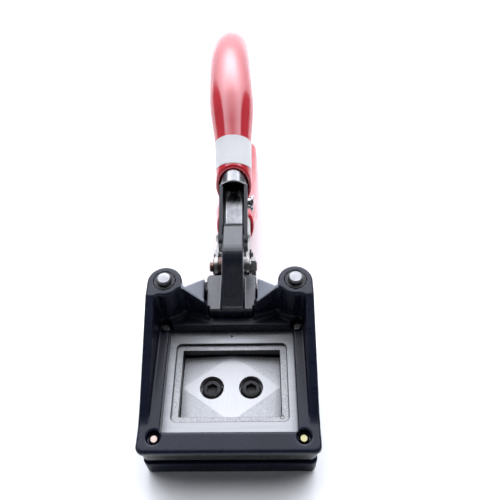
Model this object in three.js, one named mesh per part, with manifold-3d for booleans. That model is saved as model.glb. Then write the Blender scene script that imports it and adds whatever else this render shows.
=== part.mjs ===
// Photo punch: plier-type hand tool that cuts a 38 x 27 mm picture.
// Millimetres, +Z up, +Y away from the open front towards the handles.
// The origin is the middle of the picture window, at the underside of the base.
import * as THREE from 'three';
import { mergeVertices } from 'three/addons/utils/BufferGeometryUtils.js';
import { ConvexGeometry } from 'three/addons/geometries/ConvexGeometry.js';
import Module from 'manifold-3d';

const wasm = await Module();
wasm.setup();

// Picture cut by the tool, and the fits between its pieces
const cutWidth = 38;
const cutLength = 27;
const punchGap = 0.08;
const slideGap = 0.08;
const seatGap = 0.1;
const turnGap = 0.15;
const looseGap = 0.3;
const overrun = 3;

// Heights of the stack, from the underside of the base up
const baseHeight = 9.8;
const slotHeight = 3.2;
const diePlateThickness = 5;
const rimHeight = 5.1;
const stroke = 3;
const frameBottom = baseHeight + slotHeight;
const dieTop = frameBottom + diePlateThickness;
const rimTop = dieTop + rimHeight;

// Frame casting: its plan follows from the window and the widths of the rim round it
const frameFrontWidth = 64.1;
const sideRimWidth = 7.85;
const frontRimWidth = 7.4;
const rearRimWidth = 4.15;
const windowFrontReach = 21.2;
const windowRearReach = 20.75;
const windowWidth = frameFrontWidth - 2 * sideRimWidth;
const frameFrontReach = windowFrontReach + frontRimWidth;
const wallFace = windowRearReach + rearRimWidth;
const frameFrontCorner = 3.5;
const frameEdge = 0.7;
const skirtInset = 0.8;
const skirtHeight = 4;
const windowCorner = 0.8;
const wallFillet = 2.3;
const wallLean = 0.31;
const wallInner = 9;
const wallInnerHeight = 14.6;
const wallSlope = 0.78;
const wallPlate = 2;
const gussetInner = 10.4;
const gussetDepth = 11.6;
const gussetOuter = 17.6;
const gussetOuterDepth = 4.1;
const neckFloorBehindFoot = 0.4;
const neckFloorWidth = 25;
const neckFloorCorner = 1.5;
const ribWidth = 3.7;
const ribStart = 19.3;
const ribNose = 1.75;
const ribSlope = 0.4;
const ribEdge = 0.5;

// Ears, guide posts, bushes and return springs
const postInset = 7.05;
const postSpacing = frameFrontWidth - 2 * postInset;
const postBehindWall = 6.1;
const postReach = wallFace + postBehindWall;
const postDiameter = 5.5;
const postChamfer = 0.5;
const postAboveEar = 1.9;
const postFoot = 1.5;
const earRadius = 6.15;
const earHeight = 22;
const earEdge = 0.8;
const bushWall = 1.2;
const springPocketDiameter = 9.2;
const framePocketDepth = 8;
const basePocketDepth = 3;
const springWire = 1;
const springMean = 7.2;
const springTurns = 6;
const springEndGap = 0.05;
const springLeastGap = 0.4;

// Die plate
const dieUnderRim = 5;
const dieBehindWindow = 3.45;
const diePlateWidth = windowWidth + 2 * dieUnderRim;
const diePlateFront = windowFrontReach + dieUnderRim;
const diePlateRear = windowRearReach + dieBehindWindow;
const recessWidth = 43.1;
const recessLength = 31.5;
const recessCorner = 2;
const recessDepth = 1.46;
const openingCorner = 0.2;
const dimpleDiameter = 0.9;
const dimpleDepth = 0.6;
const dimpleBeforeRim = 1.85;
const dieScrewBesideWindow = 1.9;
const dieScrewBeforeWindow = 1.8;
const dieScrewBehindWindow = 0.55;
const dieScrewSpacing = windowWidth + 2 * dieScrewBesideWindow;
const dieScrewFront = windowFrontReach + dieScrewBeforeWindow;
const dieScrewRear = windowRearReach + dieScrewBehindWindow;
const dieScrewDiameter = 2.9;
const dieScrewHead = 5.2;
const dieScrewHeadHeight = 1.5;
const dieScrewBelowRim = 1.8;
const screwChamfer = 0.25;
const rimBoreDiameter = 4.9;
const rimBoreDepth = 2.7;

// Neck casting, with its foot in the frame and its arm up to the handle
const footWidth = 17.6;
const footLength = 17.2;
const footFront = wallFace + seatGap;
const footRear = footFront + footLength;
const neckFloorReach = footRear + neckFloorBehindFoot;
const footHeight = 10;
const footEdge = 0.5;
const shoulderHeight = 4;
const shoulderWidth = 20.4;
const armFootWidth = 9.1;
const armTopWidth = 7.2;
const armTopHeight = 28.3;
const armBendDepth = 13.6;
const armBendRadius = 8;
const armDepth = 25;
const armRear = footFront + armDepth;
const armEdge = 0.6;
const armCorner = 1.5;
const armHeelDepth = 20.6;
const armUnder = 22.3;
const lugWidth = 7;
const lugRadius = 5.2;
const footCorner = 1.8;
const neckScrewSpacing = 10;
const neckScrewDepth = 8.5;
const neckScrewDiameter = 3.4;
const neckScrewHead = 6;
const neckScrewHeadHeight = 2.2;
const neckScrewEngagement = 6.5;

// Base casting
const baseInset = 0.65;
const baseFrontInset = 0.6;
const baseBehindPost = 5.9;
const baseCorner = 3;
const baseRearCorner = 6;
const baseEdge = 0.6;
const tailWidth = 7;
const tailRadius = 4.4;

// Punch block and its screws
const punchBelowDie = 1.07;
const punchSeatDepth = 4.5;
const punchShear = 1.83;
const punchScrewSpacing = 15.1;
const punchScrewDiameter = 3.8;
const punchScrewHead = 7;
const punchScrewHeadHeight = 3.2;
const punchScrewSocket = 3.4;
const punchScrewSocketDepth = 1.8;
const punchScrewEngagement = 3;
const counterboreDiameter = 9.4;
const counterboreFloor = 1.7;

// Main pin, on which the lower lever turns
const pivotBehindFoot = 5.3;
const pivotReach = footRear + pivotBehindFoot;
const pivotHeight = 26;
const mainPinDiameter = 4;
const mainPinLeftEnd = 9.4;
const mainPinRightEnd = 10.3;
const washerDiameter = 6.8;
const washerThickness = 0.6;
const mainNutAcross = 7;
const mainNutHeight = 1.9;
const spacerDiameter = 8.4;

// Lower lever, lift pin and links
const leverWidth = 14.4;
const leverHeight = 9.6;
const leverWall = 1.3;
const leverCorner = 2.2;
const leverSlope = 22;
const leverStraight = 28;
const leverDownTurn = 11;
const leverDownRadius = 156;
const leverUpRadius = 170;
const leverSteel = 132;
const leverWebStart = 17;
const leverTurn = 20;
const liftPinDiameter = 3.2;
const liftPinHead = 5;
const liftPinHeadHeight = 0.9;
const clipDiameter = 5.4;
const clipThickness = 0.6;
const linkThickness = 1.7;
const linkWidth = 7;
const linkLength = 18;
const linkGap = 0.25;

// Handle tube, open at the top in front and closed behind the ring
const ringBehindArm = 21;
const ringReach = armRear + ringBehindArm;
const ringHeight = 49;
const handleSlope = 15;
const handleStraight = 30;
const handleBendRadius = 101;
const handleOuter = 11.5;
const handleWall = 1.4;
const channelFront = 27;
const channelCorner = 3.4;
const channelBlendStart = 19;
const channelBlendEnd = 8;
const cheekAboveAxis = 2.4;
const cheekNose = 2;
const cheekNoseLow = 1;
const handleSteel = 108;
const rivetBeforeArmRear = 1.4;
const rivetReach = armRear - rivetBeforeArmRear;
const rivetHeight = 43.5;
const rivetDiameter = 2.6;
const rivetHead = 4.2;
const rivetHeadHeight = 0.9;
const rivetTopShare = 0.65;
const dowelBeforeArmRear = 3.1;
const dowelReach = armRear - dowelBeforeArmRear;
const dowelHeight = 41.6;
const dowelDiameter = 1.8;
const studBack = 7.2;
const studShank = 2.2;
const studNeck = 4.6;
const studNeckHeight = 1.2;
const studHead = 6.8;
const studHeadHeight = 1.2;
const studEdge = 0.3;

// Grips and the paper band
const gripWall = 1.5;
const upperGripTop = 6.7;
const upperGripLean = 0.76;
const upperGripLength = 118;
const upperGripWidest = 19.6;
const lowerGripTop = 41;
const lowerGripLean = 0.45;
const lowerGripLength = 146;
const lowerGripWidth = 21.6;
const lowerGripHeight = 18.4;
const gripGap = 0.15;
const labelStart = 7.6;
const labelEnd = 20.8;
const labelThickness = 0.15;
const labelGap = 0.05;

// How finely round shapes are cut into flat faces
const roundSides = 24;
const smallSides = 12;
const quarterSides = 5;
const cornerSteps = 3;
const edgeSteps = 2;
const channelSteps = 6;
const gripSteps = 12;
const boreSteps = 9;
const labelSteps = 2;
const endSteps = 5;
const coilSteps = 8;
const coilSides = 5;

// A round end keeps this share of its half width as radius, so that neighbouring arcs never meet
const roundShare = 0.97;
// A grip's closed end stops at a tip of this share of its section
const tipShare = 0.04;
const degree = Math.PI / 180;
const upAxis = new THREE.Vector3(0, 0, 1);
const sideAxis = new THREE.Vector3(1, 0, 0);
const awayAxis = new THREE.Vector3(0, 1, 0);
const yzPlane = new THREE.Matrix4().makeBasis(awayAxis, upAxis, sideAxis);
const sides = { left: -1, right: 1 };

// Six times the volume that the triangles enclose, negative when they face inwards
function enclosed(points, triangles) {
  const [a, b, c] = [new THREE.Vector3(), new THREE.Vector3(), new THREE.Vector3()];
  let sum = 0;
  for (let i = 0; i < triangles.length; i += 3) {
    a.fromArray(points, triangles[i] * 3);
    b.fromArray(points, triangles[i + 1] * 3);
    c.fromArray(points, triangles[i + 2] * 3);
    sum += a.dot(b.cross(c));
  }
  return sum;
}

// A closed three.js geometry as a solid that can be joined and cut
function solid(geometry) {
  const bare = geometry.clone();
  bare.deleteAttribute('normal');
  bare.deleteAttribute('uv');
  const merged = mergeVertices(bare);
  const points = new Float32Array(merged.attributes.position.array);
  const kept = [];
  const index = merged.index.array;
  for (let i = 0; i < index.length; i += 3) {
    const [a, b, c] = [index[i], index[i + 1], index[i + 2]];
    if (a !== b && b !== c && c !== a) kept.push(a, b, c);
  }
  if (enclosed(points, kept) < 0) kept.reverse();
  const triVerts = new Uint32Array(kept);
  return new wasm.Manifold(new wasm.Mesh({ numProp: 3, vertProperties: points, triVerts }));
}

const join = (...solids) => solids.reduce((sum, next) => sum.add(next));
const cut = (body, ...tools) => tools.reduce((left, tool) => left.subtract(tool), body);

// An outline of corners [x, y, radius], each rounded by a true arc
function rounded(corners) {
  const shape = new THREE.Shape();
  corners.forEach(([x, y, radius = 0], i) => {
    const corner = new THREE.Vector2(x, y);
    const before = new THREE.Vector2(...corners.at(i - 1)).sub(corner).normalize();
    const after = new THREE.Vector2(...corners[(i + 1) % corners.length]).sub(corner).normalize();
    if (radius === 0) {
      if (i === 0) shape.moveTo(x, y);
      else shape.lineTo(x, y);
      return;
    }
    const half = Math.acos(before.dot(after)) / 2;
    const start = corner.clone().addScaledVector(before, radius / Math.tan(half));
    const end = corner.clone().addScaledVector(after, radius / Math.tan(half));
    const inward = before.clone().add(after).normalize();
    const middle = corner.clone().addScaledVector(inward, radius / Math.sin(half));
    start.sub(middle);
    end.sub(middle);
    shape.absarc(middle.x, middle.y, radius, start.angle(), end.angle(), start.cross(end) < 0);
  });
  return shape;
}

function rectangle(halfWidth, front, rear, radius = 0) {
  return rounded([[-halfWidth, front, radius], [halfWidth, front, radius],
    [halfWidth, rear, radius], [-halfWidth, rear, radius]]);
}

function extruded(shape, from, to, edge) {
  const depth = to - from - 2 * edge;
  const bevel = { bevelThickness: edge, bevelSize: edge, bevelOffset: -edge, bevelSegments: edgeSteps };
  const settings = { depth, curveSegments: cornerSteps, bevelEnabled: edge > 0, ...bevel };
  return new THREE.ExtrudeGeometry(shape, settings).translate(0, 0, from + edge);
}

// A flat outline drawn in plan, carried up from one height to another
const plate = (shape, from, to, edge = 0) => solid(extruded(shape, from, to, edge));

// An outline drawn in the Y-Z plane, carried along X
const slice = (shape, from, to, edge = 0) => solid(extruded(shape, from, to, edge).applyMatrix4(yzPlane));

// A profile of [radius, height] points turned about a vertical axis at x, y
function turned(profile, x = 0, y = 0, count = roundSides) {
  const points = profile.map(([radius, height]) => new THREE.Vector2(radius, height));
  const lathe = new THREE.LatheGeometry(points, count).rotateX(Math.PI / 2);
  return solid(lathe.translate(x, y, 0));
}

const upright = (diameter, from, to, x = 0, y = 0, count = roundSides) =>
  turned([[0, from], [diameter / 2, from], [diameter / 2, to], [0, to]], x, y, count);

// A profile of [radius, x] points turned about an axis along X at y, z
function turnedAcross(profile, y, z, count = roundSides) {
  const points = profile.map(([radius, x]) => new THREE.Vector2(radius, x));
  const lathe = new THREE.LatheGeometry(points, count).rotateZ(-Math.PI / 2);
  return solid(lathe.translate(0, y, z));
}

const across = (diameter, from, to, y, z, count = roundSides) =>
  turnedAcross([[0, from], [diameter / 2, from], [diameter / 2, to], [0, to]], y, z, count);

const ringAcross = (outer, inner, from, to, y, z, count = roundSides) => turnedAcross(
  [[inner, from], [outer, from], [outer, to], [inner, to], [inner, from]].map(([d, x]) => [d / 2, x]),
  y, z, count);

// The smallest body without hollows round the given points
const wrapped = (points) => solid(new ConvexGeometry(points.map((p) => new THREE.Vector3(...p))));

// A body through closed outlines: each ring is a list of 3-D points, and flat gives the first and last
// outline in 2-D so that the two ends can be closed
function skinned(rings, firstFlat, lastFlat) {
  const count = rings[0].length;
  const triangles = [];
  for (let i = 0; i + 1 < rings.length; i += 1) {
    for (let j = 0; j < count; j += 1) {
      const next = (j + 1) % count;
      const [a, b, c, d] = [i * count + j, i * count + next, (i + 1) * count + next, (i + 1) * count + j];
      triangles.push(a, b, c, a, c, d);
    }
  }
  const last = (rings.length - 1) * count;
  THREE.ShapeUtils.triangulateShape(firstFlat, []).forEach(([a, b, c]) => triangles.push(a, c, b));
  THREE.ShapeUtils.triangulateShape(lastFlat, []).forEach((corners) =>
    triangles.push(...corners.map((corner) => last + corner)));
  const geometry = new THREE.BufferGeometry().setFromPoints(rings.flat());
  geometry.setIndex(triangles);
  return solid(geometry);
}

// A square of the given half sides with round corners, as points in the same order for every size
function softSquare(halfWidth, halfHeight, corner) {
  const limit = Math.min(corner, roundShare * halfWidth, roundShare * halfHeight);
  const points = [];
  for (let quarter = 0; quarter < 4; quarter += 1) {
    const [signX, signY] = [[1, 1], [-1, 1], [-1, -1], [1, -1]][quarter];
    for (let step = 0; step < quarterSides; step += 1) {
      const angle = (quarter + step / (quarterSides - 1)) * Math.PI / 2;
      points.push(new THREE.Vector2(signX * (halfWidth - limit) + limit * Math.cos(angle),
        signY * (halfHeight - limit) + limit * Math.sin(angle)));
    }
  }
  return points;
}

const boxOutline = (half, low, high) =>
  [[-half, low], [half, low], [half, high], [-half, high]].map(([x, y]) => new THREE.Vector2(x, y));

// Carries outlineAt(s) along a path of the Y-Z plane: lean pushes a point along the path by its height
function swept(path, stations, outlineAt, leanAt = () => 0) {
  const flats = stations.map(outlineAt);
  const rings = stations.map((s, i) => flats[i].map(({ x, y }) => {
    const { point, slope } = path(s + leanAt(s) * y);
    return new THREE.Vector3(x, point.x - y * Math.sin(slope), point.y + y * Math.cos(slope));
  }));
  return skinned(rings, flats[0], flats.at(-1));
}

// Evenly spaced values, both ends included
const spread = (from, to, count) =>
  Array.from({ length: count + 1 }, (_, i) => from + (to - from) * i / count);

// Smooth value at s from pairs [place, value] in rising order
function eased(pairs, s) {
  const after = pairs.findIndex(([place]) => place >= s);
  if (after === 0) return pairs[0][1];
  if (after < 0) return pairs.at(-1)[1];
  const [[s0, v0], [s1, v1]] = [pairs[after - 1], pairs[after]];
  return v0 + (v1 - v0) * THREE.MathUtils.smoothstep(s, s0, s1);
}

// Path of straight runs and arcs: legs are [length, turn in radians], walked from a start point and slope
function walked(start, slope, legs) {
  return (s) => {
    let [y, z, angle, left] = [start.x, start.y, slope, s];
    legs.forEach(([length, turn], i) => {
      const step = i === legs.length - 1 ? left : Math.min(left, length);
      const bend = length === 0 ? 0 : turn * step / length;
      const chord = bend === 0 ? step : step * Math.sin(bend / 2) / (bend / 2);
      y += chord * Math.cos(angle + bend / 2);
      z += chord * Math.sin(angle + bend / 2);
      angle += bend;
      left -= step;
    });
    return { point: new THREE.Vector2(y, z), slope: angle };
  };
}

const finishes = {
  blackPaint: { color: 0x1c1f26, roughness: 0.38, metalness: 0.1 },
  groundSteel: { color: 0xb9bbbd, roughness: 0.32, metalness: 1 },
  blackOxide: { color: 0x17181b, roughness: 0.45, metalness: 0.6 },
  turnedSteel: { color: 0xc9cbce, roughness: 0.25, metalness: 1 },
  zincPlate: { color: 0xc2c5c4, roughness: 0.35, metalness: 1 },
  copperPlate: { color: 0x8a5a48, roughness: 0.5, metalness: 0.8 },
  chromePlate: { color: 0xe3e5e8, roughness: 0.12, metalness: 1 },
  redVinyl: { color: 0xc4202c, roughness: 0.25, metalness: 0 },
  whitePaper: { color: 0xf3f2ee, roughness: 0.8, metalness: 0 },
};

const materials = Object.fromEntries(
  Object.entries(finishes).map(([name, look]) => [name, new THREE.MeshStandardMaterial({ ...look, name })]),
);

// Turns a solid into a named mesh of its group
function add(group, name, body, finish, place = [0, 0, 0]) {
  const { numProp, vertProperties, triVerts } = body.getMesh();
  const geometry = new THREE.BufferGeometry();
  geometry.setAttribute('position', new THREE.BufferAttribute(new Float32Array(vertProperties), numProp));
  geometry.setIndex(new THREE.BufferAttribute(new Uint32Array(triVerts), 1));
  geometry.computeVertexNormals();
  const mesh = new THREE.Mesh(geometry, materials[finish]);
  mesh.name = name;
  mesh.position.set(...place);
  group.add(mesh);
  return mesh;
}

const photoPunch = new THREE.Group();
const head = new THREE.Group();
const base = new THREE.Group();
const lever = new THREE.Group();
photoPunch.add(head, base, lever);
lever.position.set(0, pivotReach, pivotHeight);

const postX = postSpacing / 2;
const earTop = dieTop + earHeight;
const postTop = earTop + postAboveEar;
const bushOuter = postDiameter + 2 * slideGap + 2 * bushWall;
const neckScrewReach = footFront + neckScrewDepth;
const pocketTop = frameBottom + framePocketDepth;
const pocketFloor = baseHeight - basePocketDepth;

// Frame casting: rim and skirt round the window, ribs, ears and the wall with its gussets
function frameOutline(inset) {
  const frontHalf = frameFrontWidth / 2 - inset;
  const rearHalf = postX + earRadius - inset;
  const rear = postReach + earRadius - inset;
  const floorHalf = neckFloorWidth / 2 - inset;
  const floorRear = neckFloorReach - inset;
  const right = [[frontHalf, inset - frameFrontReach, frameFrontCorner], [rearHalf, rear, earRadius - inset],
    [floorHalf, rear], [floorHalf, floorRear, neckFloorCorner]];
  const left = right.map(([x, y, radius]) => [-x, y, radius]).reverse();
  return rounded([...right, ...left]);
}

const ribTopAt = (y) => rimTop + ribSlope * (y + ribStart - ribNose);

function frameRib(side) {
  const outer = frameFrontWidth / 2 - seatGap;
  const ribInner = frameFrontWidth / 2 - ribWidth;
  const rear = postReach - earRadius / 2;
  const nose = ribNose * roundShare;
  const plan = rounded([[side * ribInner, -ribStart, nose], [side * outer, -ribStart, nose],
    [side * (postX + earRadius), postReach], [side * ribInner, postReach]]);
  const low = dieTop + skirtHeight / 2;
  const front = -ribStart - overrun;
  const profile = rounded([[front, low], [rear, low], [rear, Math.min(ribTopAt(rear), earTop - earEdge)],
    [front, ribTopAt(front)]]);
  return plate(plan, low, earTop, ribEdge).intersect(slice(profile, -frameFrontWidth, frameFrontWidth));
}

function frameEar(side) {
  const profile = [[0, frameBottom], [earRadius, frameBottom], [earRadius, earTop - earEdge]];
  spread(0, Math.PI / 2, edgeSteps).forEach((angle) => profile.push(
    [earRadius - earEdge + earEdge * Math.cos(angle), earTop - earEdge + earEdge * Math.sin(angle)]));
  profile.push([0, earTop]);
  return turned(profile, side * postX, postReach);
}

// The wall leans back towards the ears and its top falls towards the neck
function frameGusset(side) {
  const topAt = (x) => Math.min(dieTop + wallInnerHeight + wallSlope * (x - wallInner), earTop - earEdge);
  const faceAt = (x) => wallFace + wallLean * (x - wallInner);
  const low = frameBottom + skirtHeight;
  const meet = postX - earRadius / 2;
  const section = (x, rear) => [[side * x, wallFace, low], [side * x, faceAt(x), topAt(x)],
    [side * x, rear, topAt(x)], [side * x, rear, low]];
  const middle = section(gussetOuter, wallFace + gussetOuterDepth);
  const inner = wrapped([...section(gussetInner, wallFace + gussetDepth), ...middle]);
  const outer = wrapped([...middle, ...section(meet, faceAt(meet) + wallPlate)]);
  const plateRear = wallFace + wallPlate;
  const lip = wrapped([wallInner, gussetInner + seatGap].flatMap((x) => section(x, plateRear)));
  return join(inner, outer, lip);
}

function frameCasting() {
  const windowHole = rectangle(windowWidth / 2, -windowFrontReach, windowRearReach, windowCorner);
  const rimShape = frameOutline(0);
  rimShape.holes.push(new THREE.Path(windowHole.getPoints(cornerSteps)));
  const skirtTop = frameBottom + skirtHeight;
  const skirt = plate(frameOutline(skirtInset), frameBottom, skirtTop + frameEdge);
  const dieBed = cut(plate(frameOutline(skirtInset), skirtTop, dieTop + seatGap),
    plate(windowHole, frameBottom, rimTop));
  const fillet = new THREE.Shape();
  fillet.moveTo(wallFace - wallFillet, rimTop - frameEdge);
  fillet.lineTo(wallFace + seatGap, rimTop - frameEdge);
  fillet.lineTo(wallFace, rimTop + wallFillet);
  fillet.absarc(wallFace - wallFillet, rimTop + wallFillet, wallFillet, 0, -Math.PI / 2, true);
  const filletHalf = postX - earRadius / 2;
  const parts = [skirt, dieBed, slice(fillet, -filletHalf, filletHalf)];
  Object.values(sides).forEach((side) => parts.push(frameRib(side), frameEar(side), frameGusset(side)));
  const dieBay = plate(rectangle(diePlateWidth / 2 + seatGap, -diePlateFront - seatGap,
    diePlateRear + seatGap), frameBottom - overrun, dieTop);
  const neckBay = plate(rectangle(shoulderWidth / 2 + seatGap, wallFace + seatGap, neckFloorReach + overrun),
    dieTop, dieTop + shoulderHeight + looseGap);
  const neckSlot = plate(rectangle(footWidth / 2 + seatGap, wallFace + seatGap, neckFloorReach + overrun),
    dieTop, earTop + overrun);
  const grooveBehindLip = plate(rectangle(gussetInner, wallFace + wallPlate, neckFloorReach + overrun),
    dieTop, earTop + overrun);
  const bores = Object.values(sides).flatMap((side) => [
    upright(bushOuter + 2 * seatGap, frameBottom - overrun, earTop + overrun, side * postX, postReach),
    upright(springPocketDiameter, frameBottom - overrun, pocketTop, side * postX, postReach),
    upright(neckScrewDiameter + 2 * seatGap, frameBottom - overrun, dieTop + overrun,
      side * neckScrewSpacing / 2, neckScrewReach, smallSides),
    upright(neckScrewHead + 2 * seatGap, frameBottom - overrun, frameBottom + neckScrewHeadHeight + seatGap,
      side * neckScrewSpacing / 2, neckScrewReach, smallSides),
    ...[-dieScrewFront, dieScrewRear].flatMap((y) => [
      upright(dieScrewDiameter + 2 * seatGap, dieTop - overrun, rimTop + overrun,
        side * dieScrewSpacing / 2, y, smallSides),
      upright(rimBoreDiameter, rimTop - rimBoreDepth, rimTop + overrun, side * dieScrewSpacing / 2, y)])]);
  const rim = plate(rimShape, skirtTop, rimTop, frameEdge);
  return cut(join(rim, ...parts), plate(windowHole, dieTop, rimTop - frameEdge), dieBay, neckBay, neckSlot,
    grooveBehindLip, ...bores);
}

// Die plate: stepped recess down to the opening that the punch enters
function diePlate() {
  const body = plate(rectangle(diePlateWidth / 2, -diePlateFront, diePlateRear, windowCorner),
    frameBottom, dieTop);
  const recess = plate(rectangle(recessWidth / 2, -recessLength / 2, recessLength / 2, recessCorner),
    dieTop - recessDepth, dieTop + overrun);
  const opening = plate(rectangle(cutWidth / 2, -cutLength / 2, cutLength / 2, openingCorner),
    frameBottom - overrun, dieTop);
  const dimple = upright(dimpleDiameter, dieTop - dimpleDepth, dieTop + overrun,
    0, windowRearReach - dimpleBeforeRim, smallSides);
  const holes = Object.values(sides).flatMap((side) => [-dieScrewFront, dieScrewRear].flatMap((y) => [
    upright(dieScrewDiameter + 2 * seatGap, frameBottom - overrun, dieTop + overrun,
      side * dieScrewSpacing / 2, y, smallSides),
    upright(dieScrewHead + 2 * seatGap, frameBottom - overrun,
      frameBottom + dieScrewHeadHeight + seatGap, side * dieScrewSpacing / 2, y, smallSides)]));
  return cut(body, recess, opening, dimple, ...holes);
}

// Screw pushed up from below, its head flush with the face that it enters
const risingScrew = (shank, headSize, headHeight, top) => turned([[0, frameBottom],
  [headSize / 2, frameBottom], [headSize / 2, frameBottom + headHeight],
  [shank / 2, frameBottom + headHeight], [shank / 2, top - screwChamfer],
  [shank / 2 - screwChamfer, top], [0, top]], 0, 0, smallSides);

add(head, 'frame_casting', frameCasting(), 'blackPaint');
add(head, 'die_plate', diePlate(), 'groundSteel');
Object.entries(sides).forEach(([name, side]) => {
  const x = side * dieScrewSpacing / 2;
  const screwTop = rimTop - dieScrewBelowRim;
  const screw = () => risingScrew(dieScrewDiameter, dieScrewHead, dieScrewHeadHeight, screwTop);
  add(head, `die_screw_front_${name}`, screw(), 'zincPlate', [x, -dieScrewFront, 0]);
  add(head, `die_screw_rear_${name}`, screw(), 'zincPlate', [x, dieScrewRear, 0]);
  const inner = postDiameter / 2 + slideGap;
  const bush = [[inner, pocketTop], [bushOuter / 2, pocketTop], [bushOuter / 2, earTop], [inner, earTop],
    [inner, pocketTop]];
  add(head, `guide_bush_${name}`, turned(bush), 'blackOxide', [side * postX, postReach, 0]);
  const neckScrewTop = dieTop + neckScrewEngagement;
  const neckScrew = risingScrew(neckScrewDiameter, neckScrewHead, neckScrewHeadHeight, neckScrewTop);
  add(head, `neck_screw_${name}`, neckScrew, 'blackOxide', [side * neckScrewSpacing / 2, neckScrewReach, 0]);
});

// Neck casting: stepped foot, arm that leans back and narrows upwards, and the lug for the main pin
function armBody() {
  const top = dieTop + armTopHeight;
  const heel = footFront + armHeelDepth;
  const bend = footFront + armBendDepth;
  const heelLow = pivotHeight + lugRadius + armEdge;
  const heelFront = footRear - footCorner;
  const footTop = dieTop + footHeight;
  const outline = rounded([[footFront, dieTop + shoulderHeight], [footFront, footTop + armEdge, armCorner],
    [bend, top, armBendRadius], [armRear, top, armCorner], [armRear, dieTop + armUnder, armCorner],
    [heel, dieTop + armUnder], [heel, heelLow], [heelFront, heelLow],
    [heelFront, dieTop + shoulderHeight]].reverse());
  const geometry = extruded(outline, -armFootWidth / 2, armFootWidth / 2, armEdge).applyMatrix4(yzPlane);
  const places = geometry.attributes.position;
  for (let i = 0; i < places.count; i += 1) {
    const rise = Math.max(0, places.getZ(i) - footTop) / (top - footTop);
    places.setX(i, places.getX(i) * (1 + (armTopWidth / armFootWidth - 1) * rise));
  }
  return solid(geometry);
}

function neckCasting() {
  const footTop = dieTop + footHeight;
  const footPlan = rounded([[-footWidth / 2, footFront], [footWidth / 2, footFront],
    [footWidth / 2, footRear, footCorner], [-footWidth / 2, footRear, footCorner]]);
  const foot = plate(footPlan, dieTop, footTop, footEdge);
  const shoulder = plate(rectangle(shoulderWidth / 2, footFront, footRear), dieTop, dieTop + shoulderHeight);
  const [lugFront, lugRear] = [footRear - footCorner, pivotReach + lugRadius];
  const [lugLow, lugTop] = [pivotHeight - lugRadius, pivotHeight + lugRadius];
  const [lugInner, lugRoot] = [footFront + armHeelDepth - seatGap, lugTop + lugRadius];
  const lug = slice(rounded([[lugFront, lugLow], [lugRear, lugLow, lugRadius * roundShare],
    [lugRear, lugTop, lugRadius * roundShare], [lugInner, lugTop], [lugInner, lugRoot],
    [lugFront, lugRoot]]), -lugWidth / 2, lugWidth / 2);
  const holeTop = dieTop + neckScrewEngagement + seatGap;
  const screwHoles = Object.values(sides).map((side) => upright(neckScrewDiameter + 2 * seatGap,
    dieTop - overrun, holeTop, side * neckScrewSpacing / 2, neckScrewReach, smallSides));
  const reach = mainPinRightEnd + overrun;
  const pinHole = across(mainPinDiameter + 2 * seatGap, -reach, reach, pivotReach, pivotHeight);
  const rivetHole = across(rivetDiameter + 2 * seatGap, -reach, reach, rivetReach, rivetHeight, smallSides);
  const dowelHole = across(dowelDiameter + 2 * seatGap, -reach, reach, dowelReach, dowelHeight, smallSides);
  return cut(join(foot, shoulder, armBody(), lug), pinHole, rivetHole, dowelHole, ...screwHoles);
}

add(head, 'neck_casting', neckCasting(), 'blackPaint');

// Base casting: slab under the frame with the punch seat, and a tail for the links
const linkFootReach = pivotReach + Math.cos(leverTurn * degree) * stroke / Math.sin(leverTurn * degree);
const liftPinHeight = pivotHeight - stroke;
const linkFootHeight = liftPinHeight - linkLength;
const punchSeat = baseHeight - punchSeatDepth;

// The slab has flat corners and a sharp lower edge, so that it rests steadily also when it leans
function baseSlab() {
  const outlineAt = (inset, height) => {
    const half = frameFrontWidth / 2 - baseInset - inset;
    const front = baseFrontInset - frameFrontReach + inset;
    const rear = postReach + baseBehindPost - inset;
    const right = [[half - baseCorner, front], [half, front + baseCorner], [half, rear - baseRearCorner],
      [half - baseRearCorner, rear]];
    return Object.values(sides).flatMap((side) => right.map(([x, y]) => [side * x, y, height]));
  };
  return wrapped([...outlineAt(0, 0), ...outlineAt(0, baseHeight - baseEdge),
    ...outlineAt(baseEdge, baseHeight)]);
}

function baseCasting() {
  const tailRear = linkFootReach + tailRadius;
  const [tailLow, tailTop] = [linkFootHeight - tailRadius, linkFootHeight + tailRadius];
  const tail = slice(rounded([[postReach, tailLow], [tailRear, tailLow, tailRadius * roundShare],
    [tailRear, tailTop, tailRadius * roundShare], [postReach, tailTop]]), -tailWidth / 2, tailWidth / 2);
  const seat = plate(rectangle(cutWidth / 2 - punchGap + seatGap, -cutLength / 2 + punchGap - seatGap,
    cutLength / 2 - punchGap + seatGap), punchSeat, baseHeight + overrun);
  const bores = Object.values(sides).flatMap((side) => [
    upright(postDiameter + 2 * seatGap, postFoot, baseHeight + overrun, side * postX, postReach),
    upright(springPocketDiameter, pocketFloor, baseHeight + overrun, side * postX, postReach),
    upright(punchScrewDiameter + 2 * seatGap, punchSeat - punchScrewEngagement - seatGap, baseHeight,
      side * punchScrewSpacing / 2, 0, smallSides)]);
  const pinHole = across(liftPinDiameter + 2 * turnGap, -tailWidth, tailWidth, linkFootReach, linkFootHeight);
  return cut(join(baseSlab(), tail), seat, pinHole, ...bores);
}

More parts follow.
